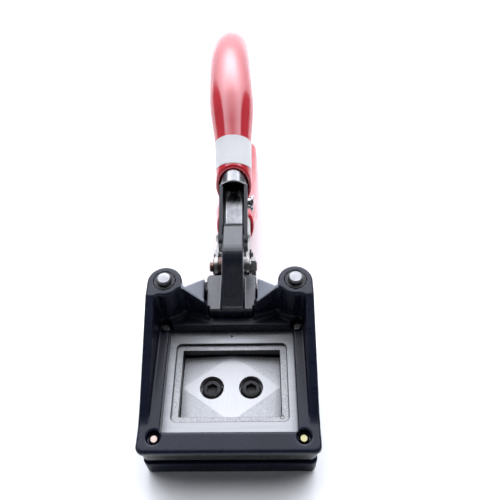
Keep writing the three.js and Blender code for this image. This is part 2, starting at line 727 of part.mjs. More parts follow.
// Punch block: a flat diamond between the middles of its edges, and four facets falling to the corners
function punchBlock() {
  const [x, y] = [cutWidth / 2 - punchGap, cutLength / 2 - punchGap];
  const top = frameBottom - punchBelowDie;
  const corners = [[x, y], [-x, y], [-x, -y], [x, -y]];
  const middles = [[x, 0, top], [-x, 0, top], [0, y, top], [0, -y, top]];
  const body = wrapped([...corners.map(([u, v]) => [u, v, punchSeat]),
    ...corners.map(([u, v]) => [u, v, top - punchShear]), ...middles]);
  const bores = Object.values(sides).flatMap((side) => [
    upright(counterboreDiameter, punchSeat + counterboreFloor, top + overrun,
      side * punchScrewSpacing / 2, 0),
    upright(punchScrewDiameter + 2 * seatGap, punchSeat - overrun, top + overrun,
      side * punchScrewSpacing / 2, 0, smallSides)]);
  return cut(body, ...bores);
}

function socketScrew() {
  const floor = punchSeat + counterboreFloor;
  const top = floor + punchScrewHeadHeight;
  const bottom = punchSeat - punchScrewEngagement;
  const [shank, cap] = [punchScrewDiameter / 2, punchScrewHead / 2];
  const body = turned([[0, bottom], [shank, bottom], [shank, floor], [cap, floor],
    [cap, top - studEdge], [cap - studEdge, top], [0, top]]);
  return cut(body, upright(punchScrewSocket, top - punchScrewSocketDepth, top + overrun, 0, 0, 6));
}

add(base, 'base_casting', baseCasting(), 'blackPaint');
add(base, 'punch_block', punchBlock(), 'groundSteel');
Object.entries(sides).forEach(([name, side]) => {
  add(base, `punch_screw_${name}`, socketScrew(), 'blackOxide', [side * punchScrewSpacing / 2, 0, 0]);
  const radius = postDiameter / 2;
  const post = [[0, postFoot], [radius, postFoot], [radius, postTop - postChamfer],
    [radius - postChamfer, postTop], [0, postTop]];
  add(base, `guide_post_${name}`, turned(post), 'turnedSteel', [side * postX, postReach, 0]);
});

// Return spring: a helix of wire between the base's pocket and the frame's
class Helix extends THREE.Curve {
  constructor(radius, bottom, top, turns) {
    super();
    Object.assign(this, { radius, bottom, top, turns });
  }

  getPoint(t) {
    const angle = 2 * Math.PI * this.turns * t;
    const height = this.bottom + (this.top - this.bottom) * t;
    return new THREE.Vector3(this.radius * Math.cos(angle), this.radius * Math.sin(angle), height);
  }
}

function returnSpring() {
  const inset = springWire / 2 + springEndGap;
  const helix = new Helix(springMean / 2, pocketFloor + inset, pocketTop - inset, springTurns);
  const steps = springTurns * coilSteps;
  const section = new THREE.Shape(spread(0, 2 * Math.PI, coilSides).slice(0, coilSides)
    .map((angle) => new THREE.Vector2(Math.cos(angle), Math.sin(angle)).multiplyScalar(springWire / 2)));
  const points = helix.getPoints(steps);
  const gaps = points.slice(coilSteps).map((point, i) => point.distanceTo(points[i]) - springWire);
  console.log(`least gap in a return spring ${Math.min(...gaps).toFixed(2)}, wanted ${springLeastGap}`);
  return solid(new THREE.ExtrudeGeometry(section, { steps, extrudePath: helix, bevelEnabled: false }));
}

Object.entries(sides).forEach(([name, side]) => {
  add(head, `return_spring_${name}`, returnSpring(), 'turnedSteel', [side * postX, postReach, 0]);
});

// Paths of the two handles in the Y-Z plane: the upper from its ring, the lower from the main pin
const upperPath = walked(new THREE.Vector2(ringReach, ringHeight), handleSlope * degree,
  [[handleStraight, 0], [handleBendRadius, -1]]);
const lowerPath = walked(new THREE.Vector2(0, 0), -leverSlope * degree, [[leverStraight, 0],
  [leverDownRadius * leverDownTurn * degree, -leverDownTurn * degree], [leverUpRadius, 1]]);

// Grip thickness along each handle, as places and widths in shares of length and of the widest part
const upperGripShares = [[0.06, 0.75], [0.12, 0.76], [0.38, 1], [0.6, 0.985], [0.75, 0.96], [1, 0.94]];
const lowerGripShares = [[0.24, 0.79], [0.4, 0.97], [0.6, 1], [0.85, 1], [1, 0.94]];

const shareAlong = (shares, length, s) => eased(shares.map(([place, share]) => [place * length, share]), s);
const upperGripRadius = (s) => shareAlong(upperGripShares, upperGripLength, s) * upperGripWidest / 2;
const lowerGripShare = (s) => shareAlong(lowerGripShares, lowerGripLength, s);

// One at the body of a grip, falling to nothing in a quarter round at its closed end
function endRound(s, length, radius) {
  const past = Math.max(0, s - (length - radius)) / radius;
  return Math.sqrt(Math.max(tipShare * tipShare, 1 - past * past));
}

const endStations = (length, radius) =>
  spread(0, Math.PI / 2, endSteps).map((angle) => length - radius + radius * Math.sin(angle));

// Handle tube: outer and inner forms, square in the open channel and round from the ring on
function handleTube() {
  const fullRadius = (s) => (s < labelStart ? handleOuter / 2
    : Math.max(handleOuter / 2, upperGripRadius(s) - gripWall - gripGap));
  const cornerShare = (s) => eased([[-channelBlendStart, 0], [-channelBlendEnd, 1]], s);
  const outlineAt = (inward) => (s) => {
    const half = fullRadius(s) - inward;
    const corner = channelCorner + (fullRadius(s) - channelCorner) * cornerShare(s) - inward;
    return softSquare(half, half, corner);
  };
  const stations = [...spread(-channelFront, 0, channelSteps), ...spread(0, handleSteel, boreSteps).slice(1)];
  const outer = swept(upperPath, stations, outlineAt(0));
  const bore = swept(upperPath, [-channelFront - overrun, ...stations, handleSteel + overrun],
    outlineAt(handleWall));
  const topRuns = spread(-channelFront - overrun, 0, 1);
  const mouthCut = swept(upperPath, topRuns, () => boxOutline(handleOuter, cheekAboveAxis, handleOuter));
  const noseRise = (cheekAboveAxis + cheekNoseLow) / cheekNose;
  const noseRuns = [-channelFront - overrun, -channelFront, cheekNose - channelFront];
  const noseCut = swept(upperPath, noseRuns, (s) => {
    const low = noseRise * Math.max(0, s + channelFront) - cheekNoseLow;
    return boxOutline(handleOuter, low, handleOuter);
  });
  const reach = handleOuter;
  const holes = [across(rivetDiameter + 2 * seatGap, -reach, reach, rivetReach, rivetHeight, smallSides),
    across(dowelDiameter + 2 * seatGap, -reach, reach, dowelReach, dowelHeight, smallSides),
    across(studShank + 2 * seatGap, 0, reach, studPlace.x, studPlace.y, smallSides)];
  return cut(outer, bore, mouthCut, noseCut, ...holes);
}

const studPlace = upperPath(-studBack).point;
const cheekFace = handleOuter / 2;
add(head, 'handle_tube', handleTube(), 'turnedSteel');

const rivetEnd = cheekFace + rivetHeadHeight;
const rivetCrown = rivetHead * rivetTopShare / 2;
const rivetSeat = cheekFace + seatGap;
const rivetProfile = [[0, -rivetEnd], [rivetCrown, -rivetEnd], [rivetHead / 2, -rivetSeat],
  [rivetDiameter / 2, -rivetSeat], [rivetDiameter / 2, rivetSeat], [rivetHead / 2, rivetSeat],
  [rivetCrown, rivetEnd], [0, rivetEnd]];
add(head, 'handle_rivet', turnedAcross(rivetProfile, rivetReach, rivetHeight, smallSides), 'zincPlate');
add(head, 'handle_pin', across(dowelDiameter, -cheekFace, cheekFace, dowelReach, dowelHeight, smallSides),
  'zincPlate');

const studBase = cheekFace + studNeckHeight;
const studTop = studBase + studHeadHeight;
const studProfile = [[0, cheekFace - handleWall], [studShank / 2, cheekFace - handleWall],
  [studShank / 2, cheekFace + seatGap], [studNeck / 2, cheekFace + seatGap], [studNeck / 2, studBase],
  [studHead / 2 - studEdge, studBase], [studHead / 2, studBase + studEdge],
  [studHead / 2, studTop - studEdge], [studHead / 2 - studEdge, studTop], [0, studTop]];
add(head, 'lock_stud', turnedAcross(studProfile, studPlace.x, studPlace.y), 'chromePlate');

// Upper grip: a thick dip of vinyl whose mouth reaches further forward underneath
function upperGrip() {
  const round = upperGripRadius(upperGripLength);
  const mouth = upperGripTop - upperGripLean * upperGripRadius(upperGripTop);
  const stations = [mouth, ...spread(labelStart, labelEnd, labelSteps),
    ...spread(labelEnd, upperGripLength - round, gripSteps).slice(1),
    ...endStations(upperGripLength, round).slice(1)];
  const outlineAt = (s) => {
    const radius = upperGripRadius(s) * endRound(s, upperGripLength, round);
    return softSquare(radius, radius, radius);
  };
  const lean = (s) => (s === mouth ? upperGripLean : 0);
  const outer = swept(upperPath, stations, outlineAt, lean);
  const boreAt = (s) => {
    const radius = Math.max(handleOuter / 2 + gripGap, s < labelStart ? 0 : upperGripRadius(s) - gripWall);
    return softSquare(radius, radius, radius);
  };
  const boreEnd = handleSteel + looseGap;
  const bore = swept(upperPath, [mouth - handleOuter, ...spread(0, handleSteel, boreSteps), boreEnd], boreAt);
  return cut(outer, bore);
}

function labelBand() {
  const stations = spread(labelStart, labelEnd, labelSteps);
  const outlineAt = (grow) => (s) => {
    const radius = upperGripRadius(s) + grow;
    return softSquare(radius, radius, radius);
  };
  const outer = swept(upperPath, stations, outlineAt(labelGap + labelThickness));
  const runs = [labelStart - overrun, ...stations, labelEnd + overrun];
  const inner = swept(upperPath, runs, outlineAt(labelGap));
  return cut(outer, inner);
}

add(head, 'upper_grip', upperGrip(), 'redVinyl');
add(head, 'paper_label', labelBand(), 'whitePaper');

// Main pin with its washers, nut and spacers
const cheekOuter = leverWidth / 2;
const cheekInner = cheekOuter - leverWall;
const spacerInner = lugWidth / 2 + seatGap;
const mainPinProfile = [[0, -mainPinLeftEnd], [mainPinDiameter / 2 - studEdge, -mainPinLeftEnd],
  [mainPinDiameter / 2, studEdge - mainPinLeftEnd], [mainPinDiameter / 2, mainPinRightEnd - studEdge],
  [mainPinDiameter / 2 - studEdge, mainPinRightEnd], [0, mainPinRightEnd]];
add(head, 'main_pin', turnedAcross(mainPinProfile, pivotReach, pivotHeight), 'copperPlate');
const nutInner = cheekOuter + washerThickness + 2 * seatGap;
const nutHole = mainPinDiameter + 2 * seatGap;
const nutBody = across(mainNutAcross / Math.cos(Math.PI / 6), nutInner, nutInner + mainNutHeight,
  pivotReach, pivotHeight, 6);
add(head, 'main_nut', cut(nutBody, across(nutHole, 0, nutInner * 2, pivotReach, pivotHeight)), 'zincPlate');
Object.entries(sides).forEach(([name, side]) => {
  const [from, to] = [spacerInner, cheekInner - turnGap].map((x) => side * x).sort((a, b) => a - b);
  add(head, `pivot_spacer_${name}`, ringAcross(spacerDiameter, nutHole, from, to, pivotReach, pivotHeight),
    'zincPlate');
  const [near, far] = [cheekOuter + seatGap, cheekOuter + seatGap + washerThickness].map((x) => side * x)
    .sort((a, b) => a - b);
  add(head, `main_washer_${name}`, ringAcross(washerDiameter, nutHole, near, far, pivotReach, pivotHeight),
    'zincPlate');
});

// Lower lever, in its own place about the main pin: a channel open at the top with round cheeks at the pin
const liftReach = linkFootReach - pivotReach;
const liftHeight = -stroke;

function lowerLever() {
  const outline = () => softSquare(leverWidth / 2, leverHeight / 2, leverCorner);
  const inside = (low) => () => boxOutline(cheekInner, low, leverHeight);
  const body = join(swept(lowerPath, spread(0, leverSteel, gripSteps), outline),
    across(leverHeight, -cheekOuter, cheekOuter, 0, 0));
  const hollowRuns = spread(-leverHeight, leverSteel + overrun, gripSteps);
  const hollow = swept(lowerPath, hollowRuns, inside(leverWall - leverHeight / 2));
  const webless = swept(lowerPath, [-leverHeight, leverWebStart], inside(-leverHeight));
  const pinHole = across(mainPinDiameter + 2 * turnGap, -leverWidth, leverWidth, 0, 0);
  const liftHole = across(liftPinDiameter + 2 * seatGap, -leverWidth, leverWidth, liftReach, liftHeight);
  return cut(body, hollow, webless, pinHole, liftHole);
}

function lowerGrip() {
  const round = lowerGripHeight / 2;
  const first = lowerGripTop - lowerGripLean * lowerGripHeight / 2;
  const stations = [first, ...spread(lowerGripTop + gripWall, lowerGripLength - round, gripSteps),
    ...endStations(lowerGripLength, round).slice(1)];
  const outlineAt = (s) => {
    const share = lowerGripShare(s) * endRound(s, lowerGripLength, round);
    return softSquare(share * lowerGripWidth / 2, share * lowerGripHeight / 2, share * lowerGripHeight / 2);
  };
  const outer = swept(lowerPath, stations, outlineAt, (s) => (s === first ? lowerGripLean : 0));
  const boreRuns = [...spread(lowerGripTop - lowerGripHeight, leverSteel, boreSteps), leverSteel + looseGap];
  const bore = swept(lowerPath, boreRuns,
    () => softSquare(leverWidth / 2 + gripGap, leverHeight / 2 + gripGap, leverCorner));
  return cut(outer, bore);
}

add(lever, 'lower_lever', lowerLever(), 'zincPlate');
add(lever, 'lower_grip', lowerGrip(), 'redVinyl');

// Pin with a head at the left and a groove-held clip at the right, through a stack of half width reach
const headedPin = (reach, y, z) => turnedAcross([[0, -reach - liftPinHeadHeight - seatGap],
  [liftPinHead / 2, -reach - liftPinHeadHeight - seatGap], [liftPinHead / 2, -reach - seatGap],
  [liftPinDiameter / 2, -reach - seatGap], [liftPinDiameter / 2, reach + liftPinHeadHeight + clipThickness],
  [0, reach + liftPinHeadHeight + clipThickness]], y, z, smallSides);
const pinClip = (reach, y, z) => ringAcross(clipDiameter, liftPinDiameter + seatGap, reach + seatGap,
  reach + seatGap + clipThickness, y, z, smallSides);
const linkInner = tailWidth / 2 + linkGap * 2;
const linkOuter = linkInner + linkThickness;

add(lever, 'lift_pin', headedPin(cheekOuter, liftReach, liftHeight), 'turnedSteel');
add(lever, 'lift_pin_clip', pinClip(cheekOuter, liftReach, liftHeight), 'blackOxide');
add(base, 'link_pin', headedPin(linkOuter, linkFootReach, linkFootHeight), 'turnedSteel');
add(base, 'link_pin_clip', pinClip(linkOuter, linkFootReach, linkFootHeight), 'blackOxide');

// Strap links from the tail of the base up to the lift pin
Object.entries(sides).forEach(([name, side]) => {
  const half = linkWidth / 2;
  const strap = rounded([[linkFootReach - half, linkFootHeight - half, half * roundShare],
    [linkFootReach + half, linkFootHeight - half, half * roundShare],
    [linkFootReach + half, liftPinHeight + half, half * roundShare],
    [linkFootReach - half, liftPinHeight + half, half * roundShare]]);
  const [from, to] = [side * linkInner, side * linkOuter].sort((a, b) => a - b);
  const holes = [[linkFootHeight, turnGap], [liftPinHeight, linkGap]].map(([z, gap]) =>
    across(liftPinDiameter + 2 * gap, -leverWidth, leverWidth, linkFootReach, z));
  add(base, `lift_link_${name}`, cut(slice(strap, from, to), ...holes), 'zincPlate');
});

export default photoPunch;
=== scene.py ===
# Photo punch on a pale studio floor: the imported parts, dressed with finer shapes and finishes
import math
import bmesh
import bpy
import numpy as np
from mathutils import Matrix, Vector


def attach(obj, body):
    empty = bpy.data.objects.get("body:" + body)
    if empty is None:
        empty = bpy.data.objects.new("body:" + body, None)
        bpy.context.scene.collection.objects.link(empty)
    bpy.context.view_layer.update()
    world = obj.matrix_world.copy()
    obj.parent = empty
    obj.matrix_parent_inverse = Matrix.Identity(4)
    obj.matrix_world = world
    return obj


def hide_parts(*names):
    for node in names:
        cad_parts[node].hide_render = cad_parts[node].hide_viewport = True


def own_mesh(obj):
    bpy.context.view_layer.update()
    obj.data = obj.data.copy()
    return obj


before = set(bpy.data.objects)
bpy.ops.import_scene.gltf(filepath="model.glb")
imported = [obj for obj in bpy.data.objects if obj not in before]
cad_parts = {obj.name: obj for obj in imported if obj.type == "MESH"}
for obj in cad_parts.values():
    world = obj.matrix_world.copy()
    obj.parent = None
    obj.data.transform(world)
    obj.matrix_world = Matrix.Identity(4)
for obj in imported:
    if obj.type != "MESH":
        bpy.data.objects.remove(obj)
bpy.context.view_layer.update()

mm = 0.001
print("frame loaded,", len(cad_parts), "parts")


# Camera
# The view direction comes from pitch (down) and yaw; roll turns the picture about it.
camera = {"place": (0.0119, -0.0890, 0.2112), "lens": 39.5, "sensor": 36, "nearest": 0.01,
          "pitch": 51.86, "yaw": -1.79, "roll": -2.14}

pitch, yaw, roll = (math.radians(camera[key]) for key in ("pitch", "yaw", "roll"))
forward = Vector((math.sin(yaw) * math.cos(pitch), math.cos(yaw) * math.cos(pitch), -math.sin(pitch)))
level = Vector((math.cos(yaw), -math.sin(yaw), 0))
upright = level.cross(forward)
right = math.cos(roll) * level + math.sin(roll) * upright
above = math.cos(roll) * upright - math.sin(roll) * level
eye = bpy.data.objects.new("camera", bpy.data.cameras.new("camera"))
eye.data.lens = camera["lens"]
eye.data.sensor_width = camera["sensor"]
eye.data.clip_start = camera["nearest"]
turn = Matrix((right, above, -forward)).transposed().to_4x4()
eye.matrix_world = Matrix.Translation(camera["place"]) @ turn
bpy.context.scene.collection.objects.link(eye)
bpy.context.scene.camera = eye
print("camera set")


# Finishes
def finish(name, colour, roughness, metallic=0.0, **inputs):
    # an empty finish with the values that are the same all over on the shader's own sockets
    material = bpy.data.materials.new(name)
    material.use_nodes = True
    tree = material.node_tree
    shader = tree.nodes["Principled BSDF"]
    shader.inputs["Base Color"].default_value = (*colour, 1)
    shader.inputs["Roughness"].default_value = roughness
    shader.inputs["Metallic"].default_value = metallic
    for key, value in inputs.items():
        shader.inputs[key.replace("_", " ")].default_value = value
    return material, tree, shader


def spot(tree, stretch=(1, 1, 1)):
    # the place on the piece, stretched along its axes
    place = tree.nodes.new("ShaderNodeTexCoord")
    mapping = tree.nodes.new("ShaderNodeMapping")
    mapping.inputs["Scale"].default_value = stretch
    tree.links.new(place.outputs["Object"], mapping.inputs["Vector"])
    return mapping.outputs["Vector"]


def noise(tree, scale, detail=3, stretch=(1, 1, 1), rough=0.55):
    # a random cloud from 0 to 1, about `scale` times `stretch` lumps to a metre
    cloud = tree.nodes.new("ShaderNodeTexNoise")
    cloud.inputs["Scale"].default_value = scale
    cloud.inputs["Detail"].default_value = detail
    cloud.inputs["Roughness"].default_value = rough
    tree.links.new(spot(tree, stretch), cloud.inputs["Vector"])
    return cloud.outputs["Fac"]


def ramp(tree, factor, stops):
    # colours or plain numbers at places from 0 to 1
    band = tree.nodes.new("ShaderNodeValToRGB")
    colours = [(place, value if isinstance(value, tuple) else (value,) * 3) for place, value in stops]
    while len(band.color_ramp.elements) < len(colours):
        band.color_ramp.elements.new(1)
    for element, (place, colour) in zip(band.color_ramp.elements, colours):
        element.position = place
        element.color = (*colour, 1)
    tree.links.new(factor, band.inputs["Fac"])
    return band.outputs["Color"]


def maths(tree, operation, first, second=None, third=None):
    # one operation on numbers or on the values of other nodes
    node = tree.nodes.new("ShaderNodeMath")
    node.operation = operation
    for socket, value in zip(node.inputs, (first, second, third)):
        if isinstance(value, (int, float)):
            socket.default_value = value
        elif value is not None:
            tree.links.new(value, socket)
    return node.outputs["Value"]


def blended(tree, factor, first, second):
    # colour: first * (1 - factor) + second * factor
    node = tree.nodes.new("ShaderNodeMix")
    node.data_type = "RGBA"
    sockets = node.inputs["Factor"], node.inputs[6], node.inputs[7]
    for socket, value in zip(sockets, (factor, first, second)):
        if isinstance(value, tuple):
            socket.default_value = (*value, 1)
        elif isinstance(value, (int, float)):
            socket.default_value = value
        else:
            tree.links.new(value, socket)
    return node.outputs[2]


def bumped(tree, shader, height, strength, distance, before=None):
    # a height from 0 to 1 shades the surface like a relief of so many mm, on top of the relief before it
    bump = tree.nodes.new("ShaderNodeBump")
    bump.inputs["Strength"].default_value = strength
    bump.inputs["Distance"].default_value = distance * mm
    tree.links.new(height, bump.inputs["Height"])
    if before is not None:
        tree.links.new(before, bump.inputs["Normal"])
    tree.links.new(bump.outputs["Normal"], shader.inputs["Normal"])
    return bump.outputs["Normal"]


def coated(tree, shader, tone, rough):
    # the colour and the roughness that change over the piece
    tree.links.new(tone, shader.inputs["Base Color"])
    tree.links.new(rough, shader.inputs["Roughness"])


def parted(tree):
    # x, y and z of the place on the piece, in metres
    split = tree.nodes.new("ShaderNodeSeparateXYZ")
    tree.links.new(spot(tree), split.inputs["Vector"])
    return [split.outputs[axis] for axis in "XYZ"]


def inMm(tree, value):
    return maths(tree, "MULTIPLY", value, 1 / mm)


def lengthOf(tree, first, second):
    # sqrt(first^2 + second^2)
    squares = [maths(tree, "POWER", value, 2.0) for value in (first, second)]
    return maths(tree, "SQRT", maths(tree, "ADD", *squares))


def edgeOf(tree, x, y, halfX, halfY, radius):
    # how far a point lies outside a rectangle with round corners, in mm, below zero inside it
    over = [maths(tree, "SUBTRACT", inMm(tree, maths(tree, "ABSOLUTE", value)), half - radius)
            for value, half in ((x, halfX), (y, halfY))]
    corner = lengthOf(tree, *[maths(tree, "MAXIMUM", value, 0.0) for value in over])
    inner = maths(tree, "MINIMUM", maths(tree, "MAXIMUM", *over), 0.0)
    return maths(tree, "SUBTRACT", maths(tree, "ADD", corner, inner), radius)


# Places in the finishes are in mm, as in the shapes of their pieces further down
paint = {"deep": (0.0045, 0.006, 0.014), "worn": (0.008, 0.010, 0.021), "speck": (0.035, 0.036, 0.042),
         "shine": 0.25, "bare": (0.26, 0.275, 0.31), "gussetFrom": 9.0, "gussetTo": 18.4, "crest": 32.6,
         "crestSlope": 0.78, "margin": (1.2, 0.4), "skirt": (0.0015, 0.0016, 0.003), "skirtBelow": 20.3,
         "window": (24.2, 21.2, 0.9), "windowWall": 0.8}


def gussetTop(tree, x, z):
    # 1 on the sloping tops of the gussets: above their crest line and between their sides, less a margin
    inset, under = paint["margin"]
    u = inMm(tree, maths(tree, "ABSOLUTE", x))
    foot = paint["crest"] - paint["crestSlope"] * paint["gussetFrom"] - under
    line = maths(tree, "MULTIPLY_ADD", u, paint["crestSlope"], foot)
    top = maths(tree, "GREATER_THAN", inMm(tree, z), line)
    top = maths(tree, "MULTIPLY", top, maths(tree, "LESS_THAN", u, paint["gussetTo"]))
    return maths(tree, "MULTIPLY", top, maths(tree, "GREATER_THAN", u, paint["gussetFrom"] + inset))


def castPaint(name="castPaint", shine=paint["shine"], withPaintedLight=False):
    # stoved black paint over a casting: orange peel, fine grain and a few pale specks; on the frame the
    # sloping tops of the gussets get a painted sheen of pale grey, and the skirt under the rim painted shade
    material, tree, shader = finish(name, paint["deep"], 0.34, Specular_IOR_Level=shine)
    tone = ramp(tree, noise(tree, 70, 4), [(0.35, paint["deep"]), (0.7, paint["worn"])])
    grain = noise(tree, 2600, 2)
    tone = blended(tree, ramp(tree, grain, [(0.74, 0.0), (0.80, 1.0)]), tone, paint["speck"])
    if withPaintedLight:
        x, y, z = parted(tree)
        # painted highlight: the sloping gusset tops are coloured pale grey in place of the sheen of light
        # they catch
        tone = blended(tree, gussetTop(tree, x, z), tone, paint["bare"])
        # painted shade: outside the window, the skirt below the rim is coloured near black and made metallic
        # to dull what it reflects
        low = maths(tree, "LESS_THAN", z, paint["skirtBelow"] * mm)
        outside = maths(tree, "GREATER_THAN", edgeOf(tree, x, y, *paint["window"]), paint["windowWall"])
        skirt = maths(tree, "MULTIPLY", low, outside)
        tone = blended(tree, skirt, tone, paint["skirt"])
        tree.links.new(skirt, shader.inputs["Metallic"])
    coated(tree, shader, tone, ramp(tree, noise(tree, 500, 3), [(0.3, 0.26), (0.75, 0.36)]))
    peel = bumped(tree, shader, noise(tree, 650, 2), 0.08, 0.02)
    bumped(tree, shader, grain, 0.10, 0.008, peel)
    return material


dieFinish = {"recess": (21.55, 15.75, 2.0), "line": 0.32, "opening": (19.0, 13.5, 0.2), "shadedRim": 0.06,
             "etchedBelow": 17.7, "dimple": (0.0, 18.9, 0.55), "curl": (18.95, -13.6, 0.75), "curlThin": 5.0,
             "ground": [(0.3, (0.29, 0.297, 0.31)), (0.5, (0.35, 0.357, 0.37)),
                        (0.72, (0.42, 0.425, 0.435))],
             "bands": (0.41, 0.415, 0.425),
             "etched": [(0.3, (0.21, 0.212, 0.22)), (0.5, (0.33, 0.332, 0.34)), (0.72, (0.45, 0.45, 0.45))],
             "edges": (0.03, 0.03, 0.032), "marks": (0.012, 0.012, 0.013)}


def groundSteel():
    # surface ground along X: long fine lines and faint bands; the recess floor is etched, with painted shade
    # along its edge and on the walls of the opening, a small dimple behind the recess and a curled tool mark
    # at its corner
    d = dieFinish
    material, tree, shader = finish("groundSteel", (0.3, 0.3, 0.3), 0.36, 0.4)
    lines = noise(tree, 1, 4, (60, 3400, 900), 0.7)
    bands = ramp(tree, noise(tree, 1, 2, (14, 240, 60)), [(0.35, 0.0), (0.7, 0.5)])
    tone = blended(tree, bands, ramp(tree, lines, d["ground"]), d["bands"])
    x, y, z = parted(tree)
    low = maths(tree, "LESS_THAN", z, d["etchedBelow"] * mm)
    grit = noise(tree, 2200, 3)
    tone = blended(tree, low, tone, ramp(tree, grit, d["etched"]))
    # painted shade: the walls of the opening and a thin line along the recess edge are coloured near black
    shadedRim = maths(tree, "LESS_THAN", edgeOf(tree, x, y, *d["opening"]), d["shadedRim"])
    tone = blended(tree, shadedRim, tone, d["edges"])
    edge = maths(tree, "DIVIDE", maths(tree, "ABSOLUTE", edgeOf(tree, x, y, *d["recess"])), d["line"])
    tone = blended(tree, ramp(tree, edge, [(0.4, 0.85), (0.62, 0.0)]), tone, d["edges"])
    for mark in ("dimple", "curl"):
        centreX, centreY, size = d[mark]
        gap = [maths(tree, "SUBTRACT", inMm(tree, value), centre)
               for value, centre in ((x, centreX), (y, centreY))]
        away = maths(tree, "DIVIDE", lengthOf(tree, *gap), size)
        if mark == "curl":
            away = maths(tree, "ABSOLUTE", maths(tree, "SUBTRACT", away, 1.0))
            away = maths(tree, "MULTIPLY", away, d["curlThin"])
        tone = blended(tree, ramp(tree, away, [(0.7, 0.92), (1.0, 0.0)]), tone, d["marks"])
    coated(tree, shader, tone, ramp(tree, lines, [(0.3, 0.36), (0.7, 0.50)]))
    bumped(tree, shader, blended(tree, low, lines, grit), 0.35, 0.01)
    return material


punchFinish = {"half": (18.92, 13.42), "boreX": 7.55, "boreRadius": 4.3, "boreBelow": 11.8,
               "facets": [(0.3, (0.46, 0.467, 0.485)), (0.55, (0.57, 0.577, 0.59)), (0.75, (0.70,) * 3)],
               "flat": [(0.3, (0.50, 0.505, 0.515)), (0.7, (0.54, 0.543, 0.55))],
               "bores": (0.02, 0.02, 0.022)}


def punchSteel():
    # the flat diamond, |x| / half length + |y| / half width under 1, is ground bright; the four facets round
    # it stay satin grey and speckled, and painted shade makes the counterbores of the two screws near black
    p = punchFinish
    material, tree, shader = finish("punchSteel", (0.35, 0.35, 0.35), 0.4, 0.4)
    x, y, z = parted(tree)
    shares = [maths(tree, "DIVIDE", maths(tree, "ABSOLUTE", value), half * mm)
              for value, half in zip((x, y), p["half"])]
    flat = maths(tree, "LESS_THAN", maths(tree, "ADD", *shares), 1.0)
    # painted shade: inside their radius and below their rim the screw counterbores are coloured near black
    away = lengthOf(tree, maths(tree, "SUBTRACT", maths(tree, "ABSOLUTE", x), p["boreX"] * mm), y)
    bored = maths(tree, "MULTIPLY", maths(tree, "LESS_THAN", away, p["boreRadius"] * mm),
                  maths(tree, "LESS_THAN", z, p["boreBelow"] * mm))
    grit = noise(tree, 1900, 3)
    lines = noise(tree, 1, 3, (2600, 90, 90))
    tone = blended(tree, flat, ramp(tree, grit, p["facets"]), ramp(tree, lines, p["flat"]))
    tone = blended(tree, bored, tone, p["bores"])
    coated(tree, shader, tone, ramp(tree, grit, [(0.3, 0.38), (0.7, 0.5)]))
    bumped(tree, shader, grit, 0.3, 0.008)
    return material


turned = {"lines": 2600, "plain": (40, 60), "dull": 0.72, "polished": 0.8, "rubbed": 1.35}


def turnedMetal(name, colour, roughness, across=False):
    # lathe marks round the axis, X with `across` and Z without, and small dull patches
    material, tree, shader = finish(name, colour, roughness, 1.0)
    slow, quick = turned["plain"]
    marks = noise(tree, 1, 3, (turned["lines"], slow, slow) if across else (quick, quick, turned["lines"]))
    dull = tuple(value * turned["dull"] for value in colour)
    patches = ramp(tree, noise(tree, 320, 3), [(0.35, dull), (0.62, colour)])
    rough = [(0.3, roughness * turned["polished"]), (0.7, roughness * turned["rubbed"])]
    coated(tree, shader, patches, ramp(tree, marks, rough))
    bumped(tree, shader, marks, 0.2, 0.01)
    return material


handleFinish = {"start": (71.0, 49.0), "slope": 15.0, "edgeAbove": 2.25, "edgeUpTo": -0.03,
                "tones": [(0.35, (0.25, 0.253, 0.262)), (0.62, (0.35, 0.353, 0.36))],
                "shadedRim": (0.05, 0.05, 0.055)}


def handleSteel():
    # drawn lines along the handle, and painted shade as a dark band along the tops of the two cheeks
    h = handleFinish
    material, tree, shader = finish("handleSteel", (0.42, 0.42, 0.425), 0.26, 1.0)
    streaks = noise(tree, 1, 3, (2600, 60, 60))
    x, y, z = parted(tree)
    cos, sin = math.cos(math.radians(h["slope"])), math.sin(math.radians(h["slope"]))
    back, rise = (maths(tree, "SUBTRACT", value, start * mm) for value, start in zip((y, z), h["start"]))
    above = maths(tree, "SUBTRACT", maths(tree, "MULTIPLY", rise, cos), maths(tree, "MULTIPLY", back, sin))
    run = maths(tree, "ADD", maths(tree, "MULTIPLY", back, cos), maths(tree, "MULTIPLY", rise, sin))
    # painted shade: the tops of the cheeks, ahead of the tube, are coloured dark
    edge = maths(tree, "MULTIPLY", maths(tree, "GREATER_THAN", above, h["edgeAbove"] * mm),
                 maths(tree, "LESS_THAN", run, h["edgeUpTo"] * mm))
    tone = blended(tree, edge, ramp(tree, noise(tree, 300, 3), h["tones"]), h["shadedRim"])
    coated(tree, shader, tone, ramp(tree, streaks, [(0.3, 0.20), (0.7, 0.34)]))
    bumped(tree, shader, streaks, 0.2, 0.01)
    return material


def blackOxide():
    # nearly black, worn a little lighter in small patches
    material, tree, shader = finish("blackOxide", (0.02, 0.02, 0.022), 0.42, 0.6)
    wear = noise(tree, 900, 4)
    tone = ramp(tree, wear, [(0.45, (0.010, 0.010, 0.012)), (0.72, (0.045, 0.043, 0.042))])
    coated(tree, shader, tone, ramp(tree, wear, [(0.3, 0.36), (0.8, 0.55)]))
    bumped(tree, shader, noise(tree, 2400, 2), 0.25, 0.012)
    return material


